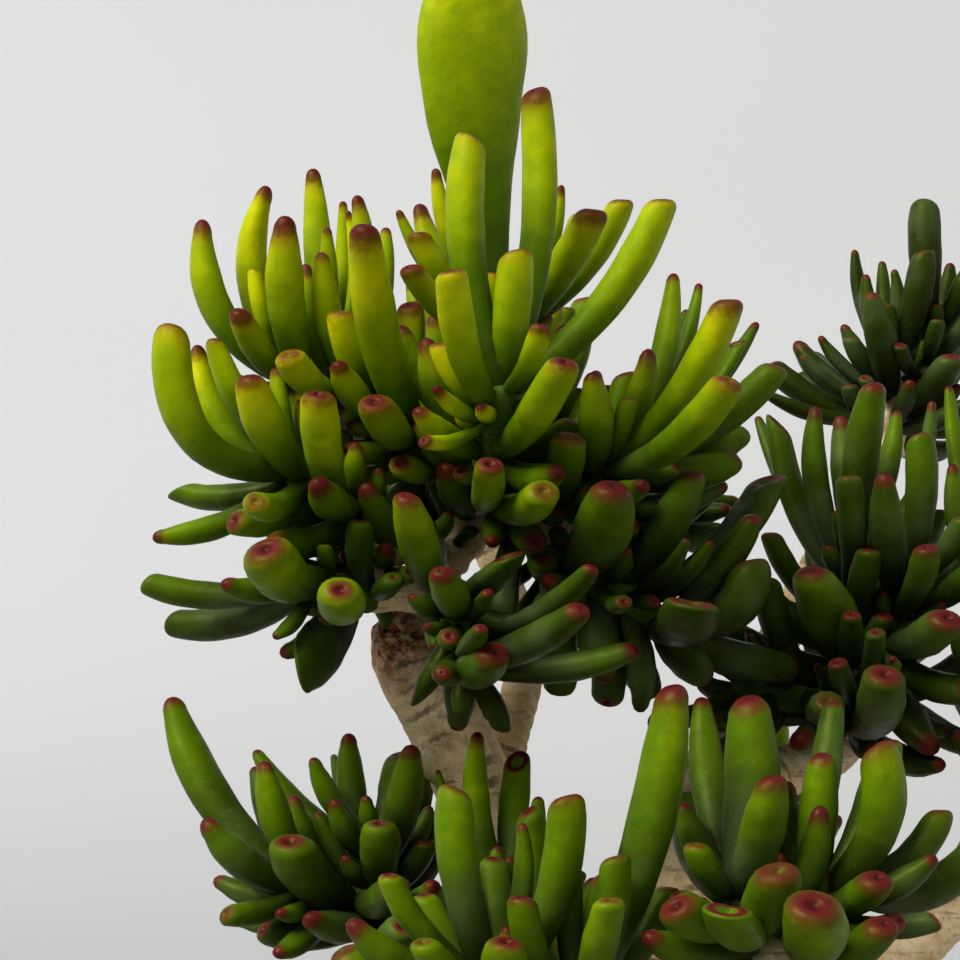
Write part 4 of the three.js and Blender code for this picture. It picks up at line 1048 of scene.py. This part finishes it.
def pot_surface():
    """Points, faces and layers of the pot: its outline turned about the upright axis, with fine turning
    ripples on the outside, slow lumps and small chips along the rim."""
    body_top = POT_HEIGHT - RIM_BAND
    floor = FOOT_HEIGHT + POT_FLOOR
    outline = rounded([
        (DRAIN_RADIUS, FOOT_HEIGHT), (FOOT_RADIUS - FOOT_WIDTH - 1, FOOT_HEIGHT),
        (FOOT_RADIUS - FOOT_WIDTH, 0), (FOOT_RADIUS, 0), (FOOT_RADIUS + 1.2, FOOT_HEIGHT),
        (RIM_RADIUS - RIM_PROUD, body_top - 0.5), (RIM_RADIUS - 0.4, body_top), (RIM_RADIUS, body_top + 1.2),
        (RIM_RADIUS, POT_HEIGHT), (RIM_RADIUS - POT_WALL, POT_HEIGHT),
        (pot_inner(floor), floor), (DRAIN_RADIUS, floor)], 2.2, 0.9)
    angle = angles(POT_SIDES)
    radius, height = outline[:, :1], outline[:, 1:]
    points = circles(radius, height, angle)
    outside = smooth(-0.2, 0.6, radius - FOOT_RADIUS) * np.ones(POT_SIDES)
    low = smooth(0.4, 3, height)
    ripple_height, pitch = RIPPLE
    ripple = ripple_height * np.sin(2 * np.pi * (height / pitch + rough(points, [RIPPLE_WAVER], 51)))
    at_rim = smooth(POT_HEIGHT - CHIP_REACH, POT_HEIGHT - 0.2, height)
    chip = smooth(0.5, 0.85, lumps(points, CHIP_SIZE, 52)) * at_rim
    rise = (outside * (ripple + rough(points, [CLAY_LUMPS], 53)) + rough(points, [CLAY_GRAIN], 54)) * low
    points = points + circles(1, 0, angle) * rise[..., None]
    points[..., 2] -= CHIP_DEPTH * chip
    rows = len(outline)
    k, a = np.meshgrid(np.arange(rows), np.arange(POT_SIDES), indexing="ij")
    after, above = (a + 1) % POT_SIDES, (k + 1) % rows
    quads = np.stack([k * POT_SIDES + a, k * POT_SIDES + after, above * POT_SIDES + after,
                      above * POT_SIDES + a], axis=-1).reshape(-1, 4)
    layers = {"height": np.broadcast_to(height / POT_HEIGHT, chip.shape).ravel(), "chip": chip.ravel()}
    return points.reshape(-1, 3), quads, layers


def soil_height(x, y):
    """Height of the soil: nearly level at the wall, heaped towards the trunk, with crumbs in three sizes."""
    heap = np.interp(np.hypot(x, y), HEAP_RADII, HEAP_SHARES) * SOIL_HEAP
    crumbs = rough(np.stack([x, y, 0 * x], axis=-1), CRUMBS, 61)
    return POT_HEIGHT - SOIL_DEPTH + heap + crumbs


def soil_surface():
    """Points, faces and layers of the soil: rings out to the wall, then down it and in under the bottom."""
    bottom = FOOT_HEIGHT + POT_FLOOR + GAP
    edge = POT_HEIGHT - SOIL_DEPTH
    radius = np.linspace(0.6, pot_inner(edge) - GAP, SOIL_ROWS)
    angle = angles(SOIL_SIDES)
    top = circles(radius[:, None], 0 * radius[:, None], angle)
    top[..., 2] = soil_height(top[..., 0], top[..., 1])
    walls = [circles(pot_inner(z) - GAP, z, angle) for z in (edge - 6, bottom)]
    points = np.concatenate([top, np.array(walls)])
    poles = [(0, 0, float(soil_height(np.zeros(1), np.zeros(1))[0])), (0, 0, bottom)]
    quads, tris = tube_faces(1, len(points), SOIL_SIDES)
    return np.vstack([points.reshape(-1, 3), poles]), quads[:, ::-1], tris[:, ::-1], {}


def pebble_surface():
    """Points, faces and layers of loose grit: dented balls of a few faces, scattered over the soil."""
    n = np.arange(PEBBLES)
    edge = pot_inner(POT_HEIGHT - SOIL_DEPTH) - PEBBLE_EDGE
    reach = mix(PEBBLE_FROM, edge, np.sqrt(scatter(n, 71)))
    angle = 2 * np.pi * scatter(n, 72)
    x, y = reach * np.cos(angle) + 1, reach * np.sin(angle)
    size = mix(*PEBBLE_SIZE, scatter(n, 73) ** 2.5)
    centre = np.stack([x, y, soil_height(x, y) + 0.25 * size], axis=-1)[:, None, None]
    tilt = np.pi * (np.arange(PEBBLE_ROWS)[:, None] + 1) / (PEBBLE_ROWS + 1)
    ball = circles(np.sin(tilt), np.cos(tilt), angles(PEBBLE_SIDES))[None]
    stretch = [mix(*part, scatter(n, 74 + k)) for k, part in enumerate(PEBBLE_STRETCH)]
    stretch = np.stack(stretch, axis=-1)[:, None, None]
    dents = 1 + rough(ball + 9.7 * n[:, None, None, None], [PEBBLE_DENTS], 77)[..., None]
    scale = size[:, None, None, None] * stretch
    points = centre + ball * dents * scale
    poles = centre[:, 0] + np.array([(0, 0, 0.95), (0, 0, -0.95)]) * scale[:, 0]
    points = np.concatenate([points.reshape(PEBBLES, -1, 3), poles], axis=1)
    quads, tris = tube_faces(PEBBLES, PEBBLE_ROWS, PEBBLE_SIDES)
    shade = np.repeat(scatter(n, 78), points.shape[1])
    return points.reshape(-1, 3), quads[:, ::-1], tris[:, ::-1], {"shade": shade}


# Materials

class Finish:
    """A procedural material under construction. Each method adds one node and returns its output."""

    def __init__(self, name, **sockets):
        self.material = bpy.data.materials.new(name)
        self.material.use_nodes = True
        self.nodes = self.material.node_tree.nodes
        self.shader = self.nodes["Principled BSDF"]
        for socket, value in sockets.items():
            self.shader.inputs[socket.replace("_", " ")].default_value = value
        self.place = self.nodes.new("ShaderNodeTexCoord").outputs["Object"]

    def feed(self, socket, value):
        """Links an output to a socket, or sets the socket to a value."""
        if isinstance(value, bpy.types.NodeSocket):
            self.material.node_tree.links.new(value, socket)
        else:
            socket.default_value = value

    def layer(self, name):
        """A point layer of the piece."""
        node = self.nodes.new("ShaderNodeAttribute")
        node.attribute_name = name
        return node.outputs["Fac"]

    def noise(self, size, detail=3, rough=0.55, warp=0, stretch=(1, 1, 1)):
        """Noise with lumps of a size in millimetres, stretched along the axes."""
        mapping = self.nodes.new("ShaderNodeMapping")
        self.feed(mapping.inputs["Vector"], self.place)
        mapping.inputs["Scale"].default_value = [1 / (s * size * MM) for s in stretch]
        node = self.nodes.new("ShaderNodeTexNoise")
        self.feed(node.inputs["Vector"], mapping.outputs["Vector"])
        for socket, value in (("Scale", 1), ("Detail", detail), ("Roughness", rough), ("Distortion", warp)):
            node.inputs[socket].default_value = value
        return node.outputs["Fac"]

    def cells(self, size):
        """Distance to the nearest of scattered points, a size in millimetres apart."""
        node = self.nodes.new("ShaderNodeTexVoronoi")
        self.feed(node.inputs["Vector"], self.place)
        node.inputs["Scale"].default_value = 1 / (size * MM)
        return node.outputs["Distance"]

    def maths(self, operation, *values):
        """One arithmetic step."""
        node = self.nodes.new("ShaderNodeMath")
        node.operation = operation
        for socket, value in zip(node.inputs, values):
            self.feed(socket, value)
        return node.outputs[0]

    def blend(self, share, a, b):
        """Colour at a share of the way from a to b."""
        node = self.nodes.new("ShaderNodeMix")
        node.data_type = "RGBA"
        self.feed(node.inputs["Factor"], share)
        self.feed(node.inputs[6], a if isinstance(a, bpy.types.NodeSocket) else (*a, 1))
        self.feed(node.inputs[7], b if isinstance(b, bpy.types.NodeSocket) else (*b, 1))
        return node.outputs[2]

    def stretch(self, value, low, high, start=0.0, end=1.0):
        """Smooth step from start to end as the value goes from low to high."""
        node = self.nodes.new("ShaderNodeMapRange")
        node.interpolation_type = "SMOOTHSTEP"
        for socket, number in zip(("Value", "From Min", "From Max", "To Min", "To Max"),
                                  (value, low, high, start, end)):
            self.feed(node.inputs[socket], number)
        return node.outputs["Result"]

    def ramp(self, value, stops):
        """Colour by a value, between stops of a place and a colour."""
        node = self.nodes.new("ShaderNodeValToRGB")
        elements = node.color_ramp.elements
        while len(elements) < len(stops):
            elements.new(0.5)
        for element, (at, colour) in zip(elements, stops):
            element.position = at
            element.color = (*colour, 1)
        self.feed(node.inputs["Fac"], value)
        return node.outputs["Color"]

    def bump(self, height, depth, strength=1.0):
        """Bump whose full height is a depth in millimetres, laid over the bumps made before it."""
        node = self.nodes.new("ShaderNodeBump")
        node.inputs["Strength"].default_value = strength
        node.inputs["Distance"].default_value = depth * MM
        self.feed(node.inputs["Height"], height)
        if self.shader.inputs["Normal"].is_linked:
            self.feed(node.inputs["Normal"], self.shader.inputs["Normal"].links[0].from_socket)
        self.feed(self.shader.inputs["Normal"], node.outputs["Normal"])

    def done(self, colour, roughness):
        """The material, with its colour and roughness."""
        self.feed(self.shader.inputs["Base Color"], colour)
        self.feed(self.shader.inputs["Roughness"], roughness)
        return self.material


def leaf_finish():
    """Waxy leaf: dark to yellow green by age and painted light and shade, with painted shade towards the
    root, and brown to red to maroon at the tip.
    """
    skin = Finish("leaf_skin", Specular_IOR_Level=0.2, Specular_Tint=(0.9, 1.0, 0.25, 1))
    cloud = skin.noise(13, 2, 0.5, 0.3)
    fine = skin.noise(1.6, 4, 0.6)
    mottle = skin.maths("MULTIPLY_ADD", skin.noise(3.2, 2, 0.5), 0.24, -0.12)
    tone = skin.maths("MULTIPLY_ADD", skin.layer("tone"), 0.2, -0.1)
    cloudy = skin.maths("MULTIPLY_ADD", cloud, 0.36, -0.18)
    # Painted shade: each leaf darkens towards its root, where it sits among the other leaves.
    root = skin.maths("MULTIPLY", skin.stretch(skin.layer("along"), 0.9, 0.0), -0.54)
    fresh_and_lit = skin.maths("ADD", skin.maths("ADD", skin.layer("fresh_and_lit"), tone), skin.maths("ADD", cloudy, root))
    fresh_and_lit = skin.maths("ADD", fresh_and_lit, mottle)
    # The green follows the leaf's age together with its painted light and shade, and the root's painted
    # shade.
    green = skin.ramp(fresh_and_lit, [
        (0.0, (0.016, 0.027, 0.002)), (0.3, (0.034, 0.068, 0.002)), (0.6, (0.09, 0.175, 0.0)),
        (0.85, (0.28, 0.37, 0.0)), (1.0, (0.55, 0.57, 0.0))])
    specks = skin.stretch(skin.cells(1.5), 0.16, 0.08)
    green = skin.blend(skin.maths("MULTIPLY", specks, 0.14), green, (0.3, 0.36, 0.1))
    bloom = skin.maths("MULTIPLY", skin.stretch(fresh_and_lit, 0.55, 0.25, 0, 0.16), skin.stretch(cloud, 0.45, 0.65))
    green = skin.blend(bloom, green, (0.16, 0.22, 0.12))
    red = skin.maths("ADD", skin.layer("red"), skin.maths("MULTIPLY_ADD", fine, 0.44, -0.22))
    amber = skin.maths("MULTIPLY", skin.stretch(fresh_and_lit, 0.45, 1.0, 0, 0.8), skin.stretch(red, 0.0, 0.4))
    colour = skin.blend(amber, green, (0.3, 0.17, 0.002))
    colour = skin.blend(skin.stretch(red, 0.2, 0.5, 0, 0.7), colour, (0.09, 0.018, 0.004))
    colour = skin.blend(skin.stretch(red, 0.35, 0.8), colour, (0.1, 0.005, 0.009))
    colour = skin.blend(skin.stretch(red, 0.8, 1.1), colour, (0.035, 0.002, 0.006))
    skin.bump(skin.noise(3, 3), 0.35, 0.5)
    return skin.done(colour, skin.stretch(skin.noise(3, 3), 0.3, 0.7, 0.4, 0.56))


def bark_finish():
    """Stem bark: tan with grey and brown clouds, dark scar rings, a flaky patch, and green young shoots."""
    bark = Finish("stem_bark", Specular_IOR_Level=0.2)
    cloud = bark.noise(6, 4, 0.6, 0.4)
    fine = bark.noise(0.8, 4, 0.65, 0, (1, 1, 2))
    colour = bark.ramp(cloud, [
        (0.25, (0.52, 0.35, 0.16)), (0.5, (0.84, 0.63, 0.35)), (0.75, (0.95, 0.8, 0.53))])
    colour = bark.blend(bark.stretch(fine, 0.5, 0.78, 0, 0.6), colour, (0.16, 0.1, 0.055))
    crack = bark.noise(2.6, 3, 0.6, 0, (2.2, 2.2, 0.45))
    colour = bark.blend(bark.stretch(crack, 0.58, 0.72, 0, 0.5), colour, (0.12, 0.075, 0.04))
    colour = bark.blend(bark.stretch(bark.layer("ring"), 0.2, 0.85, 0, 0.85), colour, (0.1, 0.06, 0.035))
    flake = bark.maths("MULTIPLY", bark.layer("flake"), bark.stretch(bark.noise(1.7, 3), 0.35, 0.55, 0.5, 1))
    colour = bark.blend(flake, colour, bark.ramp(bark.noise(1.1, 3, 0.7), [
        (0.4, (0.03, 0.014, 0.008)), (0.5, (0.16, 0.045, 0.016)), (0.6, (0.46, 0.16, 0.055))]))
    young = bark.maths("ADD", bark.layer("green"), bark.maths("MULTIPLY_ADD", cloud, 0.5, -0.25))
    colour = bark.blend(bark.stretch(young, 0.25, 0.8), colour, (0.06, 0.11, 0.003))
    bark.bump(bark.noise(1.1, 4, 0.65), 0.35, 0.7)
    bark.bump(bark.stretch(crack, 0.56, 0.68, 1, 0), 0.4, 0.6)
    bark.bump(bark.cells(2.4), 0.25, 0.35)
    return bark.done(colour, bark.stretch(fine, 0.2, 0.8, 0.62, 0.85))


def clay_finish():
    """Fired clay: orange brown with a dusty bloom, pale lime bands at the rim and foot, and chips."""
    clay = Finish("fired_clay")
    cloud = clay.noise(26, 4, 0.6, 0.5)
    grit = clay.noise(0.7, 3, 0.7)
    colour = clay.ramp(cloud, [
        (0.28, (0.33, 0.115, 0.05)), (0.5, (0.43, 0.165, 0.075)), (0.74, (0.52, 0.23, 0.12))])
    colour = clay.blend(clay.stretch(grit, 0.62, 0.75, 0, 0.6), colour, (0.62, 0.36, 0.22))
    high = clay.layer("height")
    band = clay.maths("ADD", high, clay.maths("MULTIPLY", clay.noise(16, 4, 0.65, 0.8), 0.35))
    lime = clay.maths("MULTIPLY", clay.stretch(band, 0.84, 0.97), clay.stretch(band, 1.12, 1.02))
    low = clay.stretch(clay.maths("ADD", high, clay.maths("MULTIPLY", clay.noise(9, 4), 0.2)), 0.24, 0.1)
    dust = clay.maths("MAXIMUM", clay.maths("MULTIPLY", lime, 0.6), clay.maths("MULTIPLY", low, 0.55))
    dust = clay.maths("MULTIPLY", dust, clay.stretch(clay.noise(2.2, 4, 0.7), 0.35, 0.65))
    colour = clay.blend(dust, colour, (0.66, 0.58, 0.5))
    colour = clay.blend(clay.layer("chip"), colour, (0.56, 0.22, 0.1))
    clay.bump(grit, 0.12, 0.6)
    clay.bump(clay.noise(4, 3), 0.3, 0.35)
    return clay.done(colour, clay.stretch(grit, 0.3, 0.7, 0.78, 0.92))


def soil_finish():
    """Dark crumbly soil with paler fibres and grains."""
    soil = Finish("potting_soil")
    crumb = soil.noise(1.8, 5, 0.7, 0.6)
    colour = soil.ramp(crumb, [(0.3, (0.012, 0.008, 0.005)), (0.55, (0.045, 0.028, 0.017)),
                               (0.75, (0.12, 0.08, 0.05))])
    soil.bump(crumb, 0.8, 0.9)
    return soil.done(colour, soil.stretch(crumb, 0.3, 0.7, 0.85, 0.97))


def grit_finish():
    """Grit of mixed stones: dark lava, brown bark chips and pale pumice, by each grain's shade."""
    grit = Finish("mixed_grit")
    colour = grit.ramp(grit.layer("shade"), [
        (0.0, (0.03, 0.02, 0.016)), (0.3, (0.1, 0.05, 0.03)), (0.55, (0.2, 0.13, 0.08)),
        (0.78, (0.36, 0.3, 0.22)), (1.0, (0.6, 0.57, 0.5))])
    fine = grit.noise(0.5, 3, 0.7)
    colour = grit.blend(grit.stretch(fine, 0.45, 0.7, 0, 0.45), colour, (0.05, 0.035, 0.025))
    grit.bump(fine, 0.25, 0.8)
    return grit.done(colour, grit.stretch(fine, 0.3, 0.7, 0.8, 0.95))


# Pieces

leaf_skin = leaf_finish()
stem_bark = bark_finish()


def dress(piece, nodes):
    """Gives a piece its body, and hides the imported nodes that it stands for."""
    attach(piece, "root")
    if nodes:
        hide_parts(*nodes)


def freshness_and_light(name, leaves):
    """A leaf's painted green: fresher and less in painted shade the higher it is in its head, by its tip and
    its root, and painted lighter the further left and forward its tip is, towards the window light."""
    low, high = FRESH_AND_LIGHT[name]
    height = np.array([mix(leaf.axis[2], leaf.tip[2], 0.6) for leaf in leaves])
    tips = np.array([leaf.tip for leaf in leaves])
    # Painted light: tips further left and forward, towards the window light, count as higher and come out
    # lighter.
    level = height - LEFT_PAINTED_LIGHT * tips[:, 0] - FORWARD_PAINTED_LIGHT * tips[:, 1]
    bounds = np.percentile(level, FRESH_AND_LIGHT_SPREAD)
    return mix(low, high, smooth(*bounds, level))


# Grids of the set leaves and of the small ones: sides, and rows of the body, the rounded tip and the dip
LEAF_DETAIL = ((False, 20, (17, 5, 3)), (True, 10, (9, 3, 2)))


def joined(parts):
    """Parts on different grids as one: their points and layers in turn, and the faces' counts moved on."""
    starts = np.cumsum([0] + [len(points) for points, _, _ in parts])
    points = np.vstack([points for points, _, _ in parts])
    layers = {name: np.concatenate([layers[name] for _, layers, _ in parts]) for name in parts[0][1]}
    quads, tris = (
        np.vstack([faces[k] + start for (_, _, faces), start in zip(parts, starts)]) for k in (0, 1))
    return points, layers, (quads, tris)


def add_head(head, routes, leaves):
    """The leaves of a head as one piece, on the two grids, and its shoots as another."""
    name = head["name"]
    # Each leaf's age value also holds its painted light and shade.
    fresh_and_lit = freshness_and_light(name, leaves)
    parts = []
    for small, sides, rows in LEAF_DETAIL:
        picks = [k for k, leaf in enumerate(leaves) if leaf.small == small]
        if picks:
            group = [leaves[k] for k in picks]
            red_share = RED_SHARE[name] * mix(*RED_BY_FRESH_AND_LIGHT, fresh_and_lit[picks])
            parts.append(leaf_grids(group, fresh_and_lit[picks], red_share, sides, rows))
    points, layers, (quads, tris) = joined(parts)
    piece = add_mesh(name.replace("head", "leaves"), points, quads, tris, layers, leaf_skin)
    dress(piece, [name])
    points, layers, (quads, tris) = shoot_grids(routes)
    piece = add_mesh(name.replace("head", "shoots"), points, quads, tris, layers, stem_bark)
    dress(piece, [])


all_routes = [shoot_routes(head) for head in HEADS]
all_leaves = grow_leaves(all_routes)
for head, routes, leaves in zip(HEADS, all_routes, all_leaves):
    add_head(head, routes, leaves)

points, quads, layers = wood_surface()
no_tris = np.empty((0, 3), int)
dress(add_mesh("woody_stems", points, quads, no_tris, layers, stem_bark), ["trunk"])
points, quads, layers = pot_surface()
dress(add_mesh("clay_pot", points, quads, no_tris, layers, clay_finish()), ["pot"])
points, quads, tris, layers = soil_surface()
dress(add_mesh("crumbly_soil", points, quads, tris, layers, soil_finish()), ["soil"])
points, quads, tris, layers = pebble_surface()
dress(add_mesh("loose_grit", points, quads, tris, layers, grit_finish()), [])


# Stage, light and camera

# Dish in metres: the radius up to which it is level, its outer radius, the height of its wall, and the power
# of its rise. It glows between two radii, at its strongest by GLOW.
STAGE_LEVEL = 0.55
STAGE_RADIUS = 2.7
STAGE_RISE = 1.9
STAGE_POWER = 2.4
STAGE_SIDES = 96
STAGE_ROWS = 40
GLOW = 0.29
GLOW_RADII = (0.5, 1.35)

# Lights: where each comes from, its strength, its width in degrees and its colour
LIGHTS = {
    "window": ((-0.57, -0.42, 0.71), 4.9, 40, (1.0, 0.985, 0.95)),
    "room": ((-0.5, -0.85, 0.35), 0.75, 70, (0.95, 0.98, 1.0)),
}
AIR = (0.93, 0.96, 1.0, 1)
AIR_STRENGTH = 0.3
PICTURE_STEPS = 960
SENSOR_WIDTH = 36


def add_stage():
    """Pale dish: level under the pot, then rising with a power of the distance to a wall, which glows softly
    behind the plant, more so to its left."""
    reach = np.linspace(0.02, STAGE_RADIUS, STAGE_ROWS)
    climb = np.maximum(reach - STAGE_LEVEL, 0) / (STAGE_RADIUS - STAGE_LEVEL)
    angle = angles(STAGE_SIDES)
    points = circles(reach[:, None], STAGE_RISE * climb[:, None] ** STAGE_POWER, angle).reshape(-1, 3)
    quads, _ = tube_faces(1, STAGE_ROWS, STAGE_SIDES)
    middle = np.array([[0, 0, 0]])
    behind = smooth(-0.2, 0.6, np.sin(angle)) * smooth(0.45, -0.6, np.cos(angle))
    glow = smooth(*GLOW_RADII, reach)[:, None] * behind
    around = np.arange(STAGE_SIDES)
    fan = np.stack([np.full(STAGE_SIDES, len(points)), np.roll(around, -1), around], axis=-1)
    paper = Finish("studio_paper", Emission_Color=(0.98, 0.985, 1.0, 1))
    tint = paper.noise(900, 2)
    colour = paper.ramp(tint, [(0.3, (0.34, 0.34, 0.345)), (0.7, (0.36, 0.36, 0.365))])
    paper.feed(paper.shader.inputs["Emission Strength"], paper.maths("MULTIPLY", paper.layer("glow"), GLOW))
    material = paper.done(colour, paper.stretch(tint, 0, 1, 0.85, 0.95))
    material.cycles.emission_sampling = "NONE"
    stage = add_mesh("studio_floor", np.vstack([points, middle]) / MM, quads[:, ::-1], fan[:, ::-1],
                     {"glow": np.append(glow, 0)}, material)


def add_sun(name, towards, strength, spread, colour):
    """Even light from one direction, as wide as a window: spread is its width in degrees."""
    light = bpy.data.lights.new(name, "SUN")
    light.energy = strength
    light.angle = math.radians(spread)
    light.color = colour
    thing = bpy.data.objects.new(name, light)
    thing.rotation_euler = Vector(towards).to_track_quat("Z", "Y").to_euler()
    bpy.context.scene.collection.objects.link(thing)


def add_camera():
    """Level camera at the view grid's viewpoint, whose picture is 960 steps wide at the main stem."""
    data = bpy.data.cameras.new("viewpoint")
    data.sensor_width = SENSOR_WIDTH
    data.lens = SENSOR_WIDTH * VIEW_DISTANCE / (PICTURE_STEPS * STEP)
    data.clip_start = 0.01
    thing = bpy.data.objects.new("viewpoint", data)
    thing.location = (VIEW_X * MM, -VIEW_DISTANCE * MM, VIEW_Z * MM)
    thing.rotation_euler = (math.pi / 2, 0, 0)
    bpy.context.scene.collection.objects.link(thing)
    bpy.context.scene.camera = thing


add_stage()
world = bpy.data.worlds.new("soft_room")
world.use_nodes = True
world.node_tree.nodes["Background"].inputs["Color"].default_value = AIR
world.node_tree.nodes["Background"].inputs["Strength"].default_value = AIR_STRENGTH
bpy.context.scene.world = world
for name, light in LIGHTS.items():
    add_sun(name, *light)
add_camera()
bpy.context.scene.view_settings.view_transform = "Standard"
